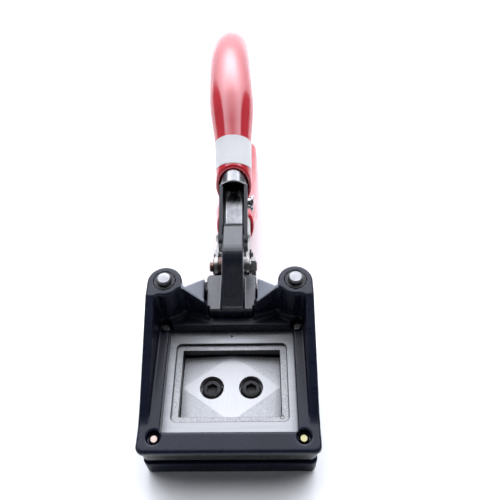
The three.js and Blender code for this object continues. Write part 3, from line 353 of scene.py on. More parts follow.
def redVinyl():
    # dipped vinyl: clear and glossy, with slow waves in the skin and a slight change of tone
    material, tree, shader = finish("redVinyl", (0.48, 0.008, 0.015), 0.14, 0.0, Specular_IOR_Level=0.95,
                                    Subsurface_Weight=0.05)
    shader.inputs["Subsurface Radius"].default_value = (0.9 * mm, 0.2 * mm, 0.15 * mm)
    shader.inputs["Subsurface Scale"].default_value = 1.0
    tone = ramp(tree, noise(tree, 55, 3), [(0.35, (0.45, 0.007, 0.018)), (0.65, (0.51, 0.010, 0.023))])
    coated(tree, shader, tone, ramp(tree, noise(tree, 260, 3), [(0.3, 0.10), (0.75, 0.17)]))
    waves = bumped(tree, shader, noise(tree, 90, 2), 0.10, 0.2)
    bumped(tree, shader, noise(tree, 1500, 2), 0.05, 0.008, waves)
    return material


def whitePaper():
    # matt paper with fibres along X
    material, tree, shader = finish("whitePaper", (0.68, 0.68, 0.68), 0.7, Specular_IOR_Level=0.2)
    fibre = noise(tree, 1, 4, (900, 2600, 2600))
    tone = ramp(tree, fibre, [(0.3, (0.66, 0.66, 0.665)), (0.7, (0.71, 0.71, 0.715))])
    coated(tree, shader, tone, ramp(tree, noise(tree, 700, 2), [(0.3, 0.55), (0.7, 0.75)]))
    bumped(tree, shader, fibre, 0.3, 0.012)
    return material


finishes = {
    "castPaint": castPaint(shine=0.75), "framePaint": castPaint("framePaint", withPaintedLight=True),
    "basePaint": castPaint("basePaint", 0.03), "groundSteel": groundSteel(), "punchSteel": punchSteel(),
    "blackOxide": blackOxide(), "redVinyl": redVinyl(), "whitePaper": whitePaper(),
    "turnedSteel": turnedMetal("turnedSteel", (0.23, 0.23, 0.235), 0.28),
    "handleSteel": handleSteel(),
    "zincPlate": turnedMetal("zincPlate", (0.42, 0.42, 0.41), 0.32),
    "pinkZinc": turnedMetal("pinkZinc", (0.42, 0.34, 0.29), 0.34),
    "yellowZinc": turnedMetal("yellowZinc", (0.38, 0.36, 0.20), 0.34),
    "copperPlate": turnedMetal("copperPlate", (0.17, 0.11, 0.095), 0.42, across=True),
    "chromePlate": turnedMetal("chromePlate", (0.40, 0.40, 0.41), 0.14, across=True),
}
print("finishes made")


# Making pieces
def added(name, mesh, body, replaced, look, smooth=38):
    # a finished mesh as a piece of the object, riding on its body in place of the parts it stands for
    shape = bmesh.new()
    shape.from_mesh(mesh)
    bmesh.ops.remove_doubles(shape, verts=shape.verts, dist=1e-7)
    bmesh.ops.recalc_face_normals(shape, faces=shape.faces)
    shape.to_mesh(mesh)
    shape.free()
    mesh.polygons.foreach_set("use_smooth", np.ones(len(mesh.polygons), dtype=bool))
    mesh.set_sharp_from_angle(angle=math.radians(smooth))
    mesh.materials.clear()
    mesh.materials.append(finishes[look])
    piece = bpy.data.objects.new(name, mesh)
    bpy.context.scene.collection.objects.link(piece)
    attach(piece, body)
    if replaced:
        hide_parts(*replaced)
    return piece


def around(count=72):
    # so many even angles round a section
    return np.linspace(0, 2 * np.pi, count, endpoint=False)


def quads(rows, columns):
    # the corner numbers of every cell of a grid, its last column joined to its first
    row, column = np.meshgrid(np.arange(rows - 1), np.arange(columns), indexing="ij")
    after = (column + 1) % columns
    cells = np.stack([row * columns + column, row * columns + after,
                      (row + 1) * columns + after, (row + 1) * columns + column], axis=-1)
    return cells.reshape(-1, 4)


def surface(name, points):
    # a grid of points, rows by columns by 3, as a mesh
    rows, columns = points.shape[:2]
    mesh = bpy.data.meshes.new(name)
    mesh.from_pydata(points.reshape(-1, 3).tolist(), [], quads(rows, columns).tolist())
    return mesh


def softened(profile, radius, steps=4, most=0.45):
    # each inner corner becomes a curve (1-t)^2 a + 2t(1-t) p + t^2 b between points a and b beside it,
    # which stand the radius away, or at most that share of the side
    points = np.asarray(profile, dtype=float)
    middle = points[1:-1]
    before, after = points[:-2] - middle, points[2:] - middle
    lengths = np.linalg.norm(before, axis=1), np.linalg.norm(after, axis=1)
    reach = [np.minimum(radius, most * length) / length for length in lengths]
    a, b = middle + before * reach[0][:, None], middle + after * reach[1][:, None]
    t = np.linspace(0, 1, steps + 1)[None, :, None]
    curves = (1 - t) ** 2 * a[:, None] + 2 * t * (1 - t) * middle[:, None] + t ** 2 * b[:, None]
    return np.concatenate([points[:1], curves.reshape(-1, 2), points[-1:]])


def revolved(name, profile, centre):
    # centre + (radius cos a, radius sin a, height), for profile rows [radius, height]
    radius, height = np.asarray(profile, dtype=float).T[:, :, None]
    angle = around()
    points = np.stack([radius * np.cos(angle), radius * np.sin(angle), height + 0 * angle], axis=-1)
    return surface(name, (points + np.asarray(centre)) * mm)


def refined(node, body, look, smooth, aside):
    # a merged copy of a part, from its bare corners and triangles, moved aside by so many mm
    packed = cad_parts[node].data
    corners = np.empty(len(packed.vertices) * 3)
    packed.vertices.foreach_get("co", corners)
    corners[::3] += aside * mm
    packed.calc_loop_triangles()
    triangles = np.empty(len(packed.loop_triangles) * 3, dtype=int)
    packed.loop_triangles.foreach_get("vertices", triangles)
    mesh = bpy.data.meshes.new(node + "Skin")
    mesh.from_pydata(corners.reshape(-1, 3).tolist(), [], triangles.reshape(-1, 3).tolist())
    return added(node + "Skin", mesh, body, [node], look, smooth)


# Castings: a number at every point tells the solid, below zero inside it
def rounded(first, second, radius=0.0):
    # inside both, their edge an arc: min(max(a, b), -r) + hypot(a + r, b + r), each part of it not below 0
    return (np.minimum(np.maximum(first, second), -radius)
            + np.hypot(np.maximum(first + radius, 0), np.maximum(second + radius, 0)))


def merged(first, second, radius=0.0):
    # inside either, with a hollow arc where they meet
    return -rounded(-first, -second, radius)


def carved(solid, tool, radius=0.0):
    # inside the solid and outside the tool
    return rounded(solid, -tool, radius)


def slanted(rise, slope):
    # a height over a sloping plane as its distance: rise / hypot(1, slope)
    return rise / math.hypot(1, slope)


def bore(across, along, centre, diameter, low=None, high=None, depth=None):
    # a round hole about a centre in one plane, between two levels of the third direction
    hole = np.hypot(across - centre[0], along - centre[1]) - diameter / 2
    if low is not None:
        hole = np.maximum(hole, low - depth)
    if high is not None:
        hole = np.maximum(hole, depth - high)
    return hole


def cast(name, solid, shape, body, node, look):
    # a grid cell that the surface cuts gets the mean of the places where its edges reach zero, and each
    # grid edge that reaches zero gets the face of the four cells round it; the grid has a margin all round
    (low, high), step = shape["box"], shape["cell"]
    start = np.array(low) - 1.5 * step
    axes = [np.arange(a, b + 2 * step, step) for a, b in zip(start, high)]
    value = solid(*np.meshgrid(*axes, indexing="ij", sparse=True))
    cells, places = [], []
    for axis in range(3):
        one = np.eye(3, dtype=int)[axis]
        later = np.roll(value, -1, axis)
        reached = (value < 0) != (later < 0)
        at = np.argwhere(reached)
        here, there = value[reached], later[reached]
        place = start + (at + (here / (here - there))[:, None] * one) * step
        right, up = np.roll(one, 1), np.roll(one, 2)
        ring = np.stack([at - right - up, at - up, at, at - right], axis=1)
        ring[here > 0] = ring[here > 0, ::-1]
        cells.append(np.ravel_multi_index(ring.reshape(-1, 3).T, value.shape))
        places.append(np.repeat(place, 4, axis=0))
    number = np.unique(np.concatenate(cells), return_inverse=True)[1]
    places = np.concatenate(places)
    points = np.stack([np.bincount(number, places[:, axis]) for axis in range(3)], axis=1)
    points /= np.bincount(number)[:, None]
    mesh = bpy.data.meshes.new(name)
    mesh.from_pydata((points * mm).tolist(), [], number.reshape(-1, 4).tolist())
    return added(name, mesh, body, [node], look, 60)


def outlineAt(corners, across, along):
    # distance to the nearest side of a closed outline, its sign from how often a ray to the side is cut
    nearest, cuts = np.inf, 0
    for (a, b), (c, d) in zip(corners, np.roll(corners, -1, axis=0)):
        run, rise = c - a, d - b
        share = np.clip(((across - a) * run + (along - b) * rise) / (run ** 2 + rise ** 2), 0, 1)
        nearest = np.minimum(nearest, np.hypot(across - a - share * run, along - b - share * rise))
        if rise:
            cuts = cuts + ((along > b) != (along > d)) * (across < a + (along - b) * run / rise)
    return np.where(cuts % 2 == 1, -nearest, nearest)


# window is half width, front, rear, corner; bay and floor are half width, front, rear; ear is x, y, radius;
# lip is half width, rear; neckSlots are half width, front, top; neckBores are diameter, top; screwBores are
# diameter, depth, edge; box is the room that is worked through, and cell the step of the grid in it
frameShape = {"frontHalf": 32.05, "rearHalf": 31.6, "front": -28.6, "corner": 2.7, "edge": 1.1,
              "bottom": 13.0, "overhang": 20.4, "lowEdge": 0.4, "inset": 0.8, "bed": 18.0, "top": 23.1,
              "skirtLap": 1.0, "skirtRoot": 0.25, "fineEdge": 0.3, "overrun": 1.0,
              "window": (24.2, -21.2, 20.75, 0.9), "windowEdge": 0.5, "bay": (29.3, -26.3, 24.3),
              "ear": (25.0, 31.0, 6.6), "earTop": 40.0, "earEdge": 0.9, "blend": 1.6,
              "ribInner": 28.35, "ribStart": -19.3, "ribNose": 1.75, "ribSlope": 0.4, "ribRoot": 0.7,
              "ribInset": 0.05, "ribEdge": 0.6, "wall": 24.9, "wallLean": 0.31, "wallTop": 32.6,
              "wallSlope": 0.78, "wallFillet": 2.3, "wallEdge": 0.5, "underEars": 0.4,
              "gusset": ((10.4, 36.5), (17.6, 29.0)), "gussetFlare": 0.44, "gussetEdge": 0.6,
              "lip": (9.0, 26.9), "floor": (12.5, 25.0, 42.6), "floorCorner": 1.5,
              "neckSlots": ((8.9, 25.0, 60), (10.4, 26.9, 60), (10.3, 25.0, 22.3)), "slotEdge": 0.2,
              "postBore": 8.26, "bushBore": 9.2, "bushTop": 21.0,
              "neckScrew": (5.0, 33.5), "neckBores": ((3.6, 20.0), (6.2, 15.3)),
              "screws": (26.1, -23.0, 21.3), "screwBores": ((3.1, 8.1, 0), (5.1, 2.7, 0.3)),
              "box": ((-32.1, -28.7, 12.9), (32.1, 42.7, 40.1)), "cell": 0.42}


def frameSolid(x, y, z):
    # rim and skirt round the window, ribs on the sides, ears, and the wall with its gussets
    f = frameShape
    u = np.abs(x)
    fine = f["fineEdge"]
    earX, earY, earRadius = f["ear"]
    rear = earY + earRadius
    side = u - f["frontHalf"] - (f["rearHalf"] - f["frontHalf"]) * (y - f["front"]) / (rear - f["front"])
    floorHalf, floorFront, floorRear = f["floor"]

    def plan(inset):
        # the outline from above, drawn in by the inset
        front = rounded(side + inset, f["front"] + inset - y, f["corner"])
        floor = rounded(u - floorHalf + inset, y - floorRear + inset, f["floorCorner"])
        floor = np.maximum(floor, floorFront - y)
        return np.minimum(rounded(front, y - rear + inset, earRadius - inset), floor)

    rim = rounded(rounded(plan(0), z - f["top"], f["edge"]), f["overhang"] - z, f["lowEdge"])
    skirt = rounded(plan(f["inset"]), f["bottom"] - z, f["lowEdge"])
    skirt = np.maximum(skirt, z - f["overhang"] - f["skirtLap"])
    ribTop = slanted(z - f["top"] - f["ribSlope"] * (y - f["ribStart"] - f["ribNose"]), f["ribSlope"])
    rib = rounded(f["ribInner"] - u, f["ribStart"] - y, f["ribNose"])
    rib = np.maximum(rounded(rib, side + f["ribInset"], fine), y - earY)
    rib = np.maximum(rounded(rib, ribTop, f["ribEdge"]), f["bed"] - z)
    ear = rounded(np.hypot(u - earX, y - earY) - earRadius, z - f["earTop"], f["earEdge"])
    ear = np.maximum(ear, f["bottom"] - z)
    lipHalf, lipRear = f["lip"]
    face = slanted(f["wall"] + f["wallLean"] * (u - lipHalf) - y, f["wallLean"])
    crest = slanted(z - f["wallTop"] - f["wallSlope"] * (u - lipHalf), f["wallSlope"])
    crest = np.maximum(crest, z - f["earTop"] + f["underEars"])
    (innerX, innerY), (outerX, outerY) = f["gusset"]
    fall = (innerY - outerY) / (outerX - innerX)
    back = np.minimum(slanted(y - innerY + fall * (u - innerX), fall),
                      slanted(y - outerY - f["gussetFlare"] * (u - outerX), f["gussetFlare"]))
    gusset = rounded(rounded(face, back, f["gussetEdge"]), crest, f["wallEdge"])
    lip = rounded(rounded(face, y - lipRear, fine), crest, f["wallEdge"])
    wall = np.minimum(rounded(gusset, innerX - u, fine), rounded(lip, lipHalf - u, fine))
    wall = np.maximum(wall, np.maximum(f["bed"] - z, u - earX))
    solid = merged(merged(rim, rib, f["ribRoot"]), merged(ear, wall, f["blend"]), f["wallFillet"])
    solid = np.maximum(solid, rounded(plan(0), z - f["earTop"], f["earEdge"]))
    solid = merged(np.maximum(solid, f["overhang"] - z), skirt, f["skirtRoot"])
    windowHalf, windowFront, windowRear, windowCorner = f["window"]
    window = rounded(u - windowHalf, np.maximum(windowFront - y, y - windowRear), windowCorner)
    solid = carved(solid, np.maximum(window, z - f["top"] - f["overrun"]), f["windowEdge"])
    bayHalf, bayFront, bayRear = f["bay"]
    bay = np.maximum(np.maximum(u - bayHalf, z - f["bed"]), np.maximum(bayFront - y, y - bayRear))
    solid = carved(solid, bay)
    for half, front, high in f["neckSlots"]:
        slot = np.maximum(np.maximum(u - half, front - y), np.maximum(f["bed"] - z, z - high))
        solid = carved(solid, slot, f["slotEdge"])
    solid = carved(solid, bore(u, y, (earX, earY), f["postBore"]))
    solid = carved(solid, bore(u, y, (earX, earY), f["bushBore"], high=f["bushTop"], depth=z))
    for diameter, high in f["neckBores"]:
        solid = carved(solid, bore(u, y, f["neckScrew"], diameter, high=high, depth=z))
    screwX, *screwRows = f["screws"]
    for row in screwRows:
        for diameter, deep, edge in f["screwBores"]:
            hole = bore(u, y, (screwX, row), diameter, low=f["top"] - deep, depth=z)
            solid = carved(solid, hole, edge)
    return solid


# foot is half width, front, rear, top, and wide its half width behind the frame's lips and where that
# starts; arm and lug are outlines in y and z with a bend for each corner; armAside is how far to the right
# the arm's foot stands, and how much more its top
neckShape = {"foot": (8.8, 25.0, 42.2, 28.0), "footCorner": 1.8, "wide": (10.1, 27.1),
             "shoulder": (10.2, 22.0), "shoulderEdge": 0.3, "bed": 18.0, "edge": 0.7,
             "arm": [(25, 21), (25, 28.6), (38.6, 46.3), (54.6, 46.3), (54.6, 41.8), (50, 40.4),
                     (45.6, 40.3), (45.6, 31.8), (40.4, 31.8), (40.4, 21)],
             "bends": [0, 1.5, 4.5, 1.2, 1.0, 0.6, 0.6, 0.6, 0.6, 0], "armFoot": 4.55, "armTop": 4.05,
             "armAside": (0.6, 0.55), "armRoot": 0.5,
             "lug": [(40.4, 20.8), (52.7, 20.8), (52.7, 31.2), (45.5, 31.2), (45.5, 36.4), (40.4, 36.4)],
             "lugBends": [0, 5.0, 5.0, 0.5, 0.5, 0], "lugHalf": 3.5, "lugEdge": 0.4,
             "groove": (53.0, 46.35, 0.5), "grooveEdge": 0.2,
             "screw": (5.0, 33.5), "screwBore": 3.6, "screwTop": 24.6,
             "pinBores": (((47.5, 26.0), 4.2), ((48.6, 43.5), 2.8), ((46.9, 41.6), 2.0)),
             "box": ((-10.3, 24.9, 17.9), (10.3, 54.8, 46.5)), "cell": 0.3}


def bentOutline(corners, bends, steps=7):
    # a closed outline with its corners turned into curves (1-t)^2 a + 2t(1-t) p + t^2 b
    corners = np.array(corners, dtype=float)
    t = np.linspace(0, 1, steps)[:, None]
    points = []
    for number, (corner, bend) in enumerate(zip(corners, bends)):
        if not bend:
            points.append(corner[None])
            continue
        ways = np.stack([corners[number - 1], corners[(number + 1) % len(corners)]]) - corner
        lengths = np.linalg.norm(ways, axis=1)[:, None]
        a, b = corner + ways / lengths * np.minimum(bend, lengths / 2)
        points.append((1 - t) ** 2 * a + 2 * t * (1 - t) * corner + t ** 2 * b)
    return np.concatenate(points)


def neckSolid(x, y, z):
    # stepped foot, arm that leans back and narrows upwards, and the lug for the main pin
    n = neckShape
    u = np.abs(x)
    half, front, rear, top = n["foot"]
    wideHalf, wideFront = n["wide"]
    above = n["bed"] - z
    foot = rounded(rounded(u - half, y - rear, n["footCorner"]), z - top, n["edge"])
    foot = rounded(np.maximum(foot, above), front - y, n["edge"])
    wide = rounded(rounded(u - wideHalf, y - rear, n["footCorner"]), z - top, n["edge"])
    foot = np.minimum(foot, np.maximum(wide, np.maximum(wideFront - y, above)))
    shoulderHalf, shoulderTop = n["shoulder"]
    shoulder = rounded(np.maximum(u - shoulderHalf, y - rear), np.maximum(z - shoulderTop, front - y),
                       n["shoulderEdge"])
    foot = np.minimum(foot, np.maximum(shoulder, above))
    share = np.clip((z - top) / (n["arm"][2][1] - top), 0, 1)
    armHalf = n["armFoot"] + (n["armTop"] - n["armFoot"]) * share
    aside = np.abs(x - n["armAside"][0] - n["armAside"][1] * share)
    arm = rounded(outlineAt(bentOutline(n["arm"], n["bends"]), y, z), aside - armHalf, n["edge"])
    lug = rounded(outlineAt(bentOutline(n["lug"], n["lugBends"]), y, z), u - n["lugHalf"], n["lugEdge"])
    solid = merged(merged(foot, arm, n["armRoot"]), lug, n["lugEdge"])
    grooveY, grooveZ, grooveSize = n["groove"]
    solid = carved(solid, np.hypot(y - grooveY, z - grooveZ) - grooveSize, n["grooveEdge"])
    solid = carved(solid, bore(u, y, n["screw"], n["screwBore"], high=n["screwTop"], depth=z))
    for centre, diameter in n["pinBores"]:
        solid = carved(solid, bore(y, z, centre, diameter) + 0 * u)
    return solid


# tail is half width, y and z of its end's middle, radius; seat is half length, half width, level;
# postBores are diameter, level of the floor, edge
baseShape = {"half": 31.4, "front": -28.0, "rear": 36.9, "height": 9.8, "corner": 2.2, "rearCorner": 6.0,
             "edge": 0.6, "lowEdge": 0.5, "tail": (3.5, 55.74, 5.0, 4.4), "tailFrom": 30, "tailEdge": 0.5,
             "tailRoot": 0.8, "seat": (19.02, 13.52, 5.3), "posts": (25.0, 31.0),
             "postBores": ((5.6, 1.45, 0), (9.2, 6.8, 0.2)), "linkBore": 3.5,
             "box": ((-31.5, -28.1, -0.1), (31.5, 60.3, 9.9)), "cell": 0.45}


def baseSolid(x, y, z):
    # slab with the punch seat and the post sockets, and the tail that the links hold
    b = baseShape
    u = np.abs(x)
    plan = rounded(rounded(u - b["half"], b["front"] - y, b["corner"]), y - b["rear"], b["rearCorner"])
    slab = rounded(rounded(plan, z - b["height"], b["edge"]), -z, b["lowEdge"])
    tailHalf, tailY, tailZ, tailRadius = b["tail"]
    tail = np.maximum(np.abs(z - tailZ) - tailRadius, np.maximum(y - tailY, b["tailFrom"] - y))
    tail = np.minimum(tail, np.hypot(y - tailY, z - tailZ) - tailRadius)
    solid = merged(slab, rounded(tail + 0 * u, u - tailHalf, b["tailEdge"]), b["tailRoot"])
    seatX, seatY, seatZ = b["seat"]
    solid = carved(solid, np.maximum(np.maximum(u - seatX, np.abs(y) - seatY), seatZ - z))
    for diameter, low, edge in b["postBores"]:
        solid = carved(solid, bore(u, y, b["posts"], diameter, low=low, depth=z), edge)
    return carved(solid, bore(y, z, (tailY, tailZ), b["linkBore"]) + 0 * u)


cast("frameSkin", frameSolid, frameShape, "head", "frame_casting", "framePaint")
cast("neckSkin", neckSolid, neckShape, "head", "neck_casting", "castPaint")
cast("baseSkin", baseSolid, baseShape, "base", "base_casting", "basePaint")
print("castings made")


# Paths of the two handles, walked as straight runs and arcs in the Y-Z plane
def walked(path, s):
    # each leg turns evenly: its chord is length * sin(b/2)/(b/2) at half the turn b done on it
    y, z = path["start"][0] + 0 * s, path["start"][1] + 0 * s
    angle, left = path["slope"] + 0 * s, s + 0.0
    for number, (length, bend) in enumerate(path["legs"]):
        last = number == len(path["legs"]) - 1
        step = left if last else np.minimum(left, length)
        part = bend * step / length
        chord = step * np.sinc(part / (2 * np.pi))
        y, z = y + chord * np.cos(angle + part / 2), z + chord * np.sin(angle + part / 2)
        angle, left = angle + part, left - step
    return y, z, angle


# legs are lengths with their turns; the last leg goes on past its length with the same curve
upperPath = {"start": (71.0, 49.0), "slope": math.radians(15), "legs": [(30, 0), (101, -1)],
             "sway": [(0, 1.15), (95, -1.9)]}
lowerPath = {"start": (47.5, 26), "slope": math.radians(-22),
             "legs": [(28, 0), (156 * math.radians(11), -math.radians(11)), (170, 1)]}


def eased(pairs, s):
    # smooth value at s between places and values: v0 + (v1 - v0) t^2 (3 - 2t)
    places, values = np.array(pairs).T
    number = np.clip(np.searchsorted(places, s) - 1, 0, len(places) - 2)
    t = np.clip((s - places[number]) / (places[number + 1] - places[number]), 0, 1)
    return values[number] + (values[number + 1] - values[number]) * t * t * (3 - 2 * t)


def placed(path, s, x, h):
    # a point h above the path and x beside it, at the run s; the sway carries it sideways
    y, z, angle = walked(path, s)
    if "sway" in path:
        x = x + eased(path["sway"], s)
    return np.stack([x + 0 * s, y - h * np.sin(angle), z + h * np.cos(angle)], axis=-1) * mm


# Rows of a grip run from inside its bore round the lip and along the skin to the closed end
gripRows = {"lip": 9, "skin": 110, "end": 26, "round": 96, "skinFrom": 1.2}


def gripRuns(g, lipReach, end):
    # places s of the rows, the turn of each lip row, and how much of the rounded end is past each row
    lip = np.linspace(0, np.pi, gripRows["lip"])
    close = np.linspace(0, np.pi / 2, gripRows["end"])[1:]
    skin = np.linspace(g["mouth"] + gripRows["skinFrom"], g["length"] - end, gripRows["skin"])
    runs = np.concatenate([g["inside"], g["mouth"] - lipReach * np.sin(lip), skin,
                           g["length"] - end + end * np.sin(close)])
    return runs, lip, np.clip(runs - (g["length"] - end), 0, None) / end


# Upper grip and its paper band
upperGrip = {"mouth": 6.7, "lean": 0.76, "skinShare": 0.9, "leanTo": 20, "leanStop": 18, "inside": (30, 12),
             "lipReach": 0.8, "length": 116.4, "widest": 19.6, "bore": 6.15, "blunt": 2.5,
             "shares": [(0.06, 0.75), (0.12, 0.76), (0.38, 1), (0.6, 0.985), (0.75, 0.96), (1, 0.94)]}
paperBand = {"start": 7.6, "end": 20.8, "rise": 0.16, "under": 0.02, "lap": 0.06, "lapAt": 0.9,
             "lapSteep": 14, "lapFrom": 12.8, "rows": 24, "round": 120}


def upperRadius(s):
    # half the widest size times the eased share at s
    pairs = [(place * upperGrip["length"], share) for place, share in upperGrip["shares"]]
    return eased(pairs, s) * upperGrip["widest"] / 2


def upperGripMesh():
    # radius r(s) (1 - past^k)^(1/k), past being the share of the rounded end that is done; the lip leans
    # by `lean` times the height
    g = upperGrip
    end = float(upperRadius(np.array(g["length"])))
    outer, inner = float(upperRadius(np.array(g["mouth"]))), g["bore"]
    wall = (outer - inner) / 2
    runs, lip, past = gripRuns(g, wall * g["lipReach"], end)
    radii = upperRadius(runs) * np.clip(1 - past ** g["blunt"], 0, 1) ** (1 / g["blunt"])
    bored, skin = slice(0, 2), slice(2 + len(lip), None)
    radii[bored] = inner
    radii[2:2 + len(lip)] = inner + wall * (1 - np.cos(lip))
    slack = np.clip((g["leanTo"] - runs) / (g["leanTo"] - g["mouth"]), 0, 1)
    lean = np.where(runs < g["leanStop"], g["lean"] * slack, 0)
    lean[bored] = g["lean"]
    lean[skin] *= g["skinShare"]
    angle = around(gripRows["round"])
    x, h = radii[:, None] * np.cos(angle), radii[:, None] * np.sin(angle)
    return surface("upperGrip", placed(upperPath, runs[:, None] + lean[:, None] * (h - outer), x, h))


def paperBandMesh():
    # a thin closed wrap: outer face, both cut edges and inner face, with the overlap a little proud
    b = paperBand
    runs = np.linspace(b["start"], b["end"], b["rows"])
    angle = around(b["round"])
    lap = b["lap"] * np.clip(np.sin(angle + b["lapAt"]) * b["lapSteep"] - b["lapFrom"], 0, 1)
    outer = upperRadius(runs)[:, None] + (b["rise"] + lap)[None, :]
    inner = upperRadius(runs)[::-1, None] + b["under"] + 0 * angle
    radii = np.concatenate([outer, inner, outer[:1]])
    s = np.concatenate([runs, runs[::-1], runs[:1]])[:, None] + 0 * angle
    return surface("paperBand", placed(upperPath, s, radii * np.cos(angle), radii * np.sin(angle)))


added("upperGripSkin", upperGripMesh(), "head", ["upper_grip"], "redVinyl", 60)
added("paperBandSkin", paperBandMesh(), "head", ["paper_label"], "whitePaper", 60)


# Lower grip
lowerGrip = {"mouth": 41, "lean": 0.45, "leanTo": 60, "leanAbout": 7, "inside": (60, 46), "lipReach": 1.0,
             "length": 146, "size": (21.6, 18.4), "bore": (14.8, 10.0), "boxy": 0.82,
             "shares": [(0.24, 0.79), (0.4, 0.97), (0.6, 1), (0.85, 1), (1, 0.94)]}


def lowerGripMesh():
    # sections are ovals softened towards boxes, |cos|^0.82 and |sin|^0.82, closing in a quarter round
    g = lowerGrip
    size, hollow = np.array(g["size"]) / 2, np.array(g["bore"]) / 2
    runs, lip, past = gripRuns(g, g["lipReach"], size[1])
    pairs = [(place * g["length"], share) for place, share in g["shares"]]
    share = eased(pairs, runs) * np.sqrt(np.clip(1 - past ** 2, 0, 1))
    mix = np.ones(len(runs))
    mix[:2 + len(lip)] = [0, 0, *(1 - np.cos(lip)) / 2]
    half = hollow * (1 - mix[:, None]) + share[:, None] * size * mix[:, None]
    angle = around(gripRows["round"])
    cos, sin = np.cos(angle), np.sin(angle)
    x = half[:, :1] * np.sign(cos) * np.abs(cos) ** g["boxy"]
    h = half[:, 1:] * np.sign(sin) * np.abs(sin) ** g["boxy"]
    lean = g["lean"] * np.clip((g["leanTo"] - runs) / (g["leanTo"] - g["mouth"]), 0, 1)
    lean[:2] = g["lean"]
    s = runs[:, None] + lean[:, None] * (h - g["leanAbout"])
    return surface("lowerGrip", placed(lowerPath, s, x, h))


added("lowerGripSkin", lowerGripMesh(), "lever", ["lower_grip"], "redVinyl", 60)
print("grips and band made")


# Handle steel: a tube in the grip, and in front of it an open channel that holds the neck's arm
handleSteelShape = {"outer": 5.75, "wall": 1.4, "end": 106.0, "front": -27.0, "rear": 0.12, "cheek": 2.4,
                    "nose": 2.0, "corner": 3.2, "sharpest": 0.4, "roundFrom": -5.5, "lip": 0.3, "rows": 60,
                    "wallRows": (1.2, 1.0), "short": 0.02}


def tubeMesh():
    # rows run forward along the bore, round the front lip and back along the outside, r = inner or outer
    h = handleSteelShape
    inner = h["outer"] - h["wall"]
    away = np.linspace(h["lip"], h["end"], h["rows"])
    runs = np.concatenate([away[::-1], [0, 0], away, away[-1:]])
    radii = np.concatenate([np.full(h["rows"], inner), [inner + h["lip"], h["outer"] - h["lip"]],
                            np.full(h["rows"], h["outer"]), [inner]])[:, None]
    x, height = radii * np.cos(around()), radii * np.sin(around())
    return surface("handleTube", placed(upperPath, runs[:, None], x, height))


def channelMesh():
    # section: down the left cheek, round its corner, over the floor and up the right one, then back along
    # the inside; the first and last rows fold it onto the middle of the sheet
    h = handleSteelShape
    s = np.linspace(h["front"], h["rear"], h["rows"] // 2)
    s = np.concatenate([s[:1], s, s[-1:]])
    past = np.clip((s - h["roundFrom"]) / -h["roundFrom"], 0, 1)
    turn = h["corner"] + (h["outer"] - h["corner"]) * past ** 2
    noseRun = np.clip(h["front"] + h["nose"] - s, 0, h["nose"])
    cheek = h["cheek"] - (h["nose"] - np.sqrt(h["nose"] ** 2 - noseRun ** 2))
    under, bottom = h["wallRows"]

    def section(half, corner):
        # x and height of the right half from the cheek's top to the floor's middle, and its mirror image
        arc = np.linspace(0, np.pi / 2, 9)
        wallH = np.stack([cheek, cheek - under, 0 * s - bottom], 1)
        wallX = half + 0 * wallH
        arcX = half - corner[:, None] * (1 - np.cos(arc))
        arcH = -half + corner[:, None] * (1 - np.sin(arc))
        middle = 0 * wallX[:, :1]
        x = np.concatenate([wallX, arcX, middle], 1)
        height = np.concatenate([wallH, arcH, middle - half], 1)
        return np.stack([np.concatenate([sign * value, value[:, -2::-1]], 1)
                         for sign, value in ((-1, x), (1, height))])

    outerHalf, innerHalf = h["outer"], h["outer"] - h["wall"]
    outer = section(outerHalf, np.minimum(turn, outerHalf - h["short"]))
    inner = section(innerHalf, np.clip(turn - h["wall"], h["sharpest"], innerHalf - h["short"]))
    middle = (outer + inner) / 2
    for row in (0, -1):
        outer[:, row] = inner[:, row] = middle[:, row]
    x, height = np.concatenate([outer, inner[:, :, ::-1]], axis=2)
    return surface("handleChannel", placed(upperPath, s[:, None], x, height))


added("handleTubeSkin", tubeMesh(), "head", ["handle_tube"], "handleSteel")
added("handleChannelSkin", channelMesh(), "head", [], "handleSteel")
print("handle steel made")


# Round metal pieces
sides = (("left", -1), ("right", 1))
guidePost = {"diameter": 5.5, "chamfer": 0.5, "soft": 0.12, "foot": 1.5, "top": 41.9, "x": 25, "y": 31.0}

for side, sign in sides:
    post = guidePost
    radius = post["diameter"] / 2
    profile = softened([(0, post["foot"]), (radius, post["foot"]), (radius, post["top"] - post["chamfer"]),
                        (radius - post["chamfer"], post["top"]), (0, post["top"])], post["soft"])
    mesh = revolved("guidePost", profile, (sign * post["x"], post["y"], 0))
    added("guidePostSkin_" + side, mesh, "base", ["guide_post_" + side], "turnedSteel")

socketScrew = {"x": 7.55, "head": 7.0, "socket": 3.4, "seat": 5.3, "floor": 7.0, "top": 11.0, "edge": 0.35,
               "deep": 1.8, "point": 0.5, "socketEdge": 0.25, "crown": 0.105, "shank": 3.8, "engaged": 3.0}


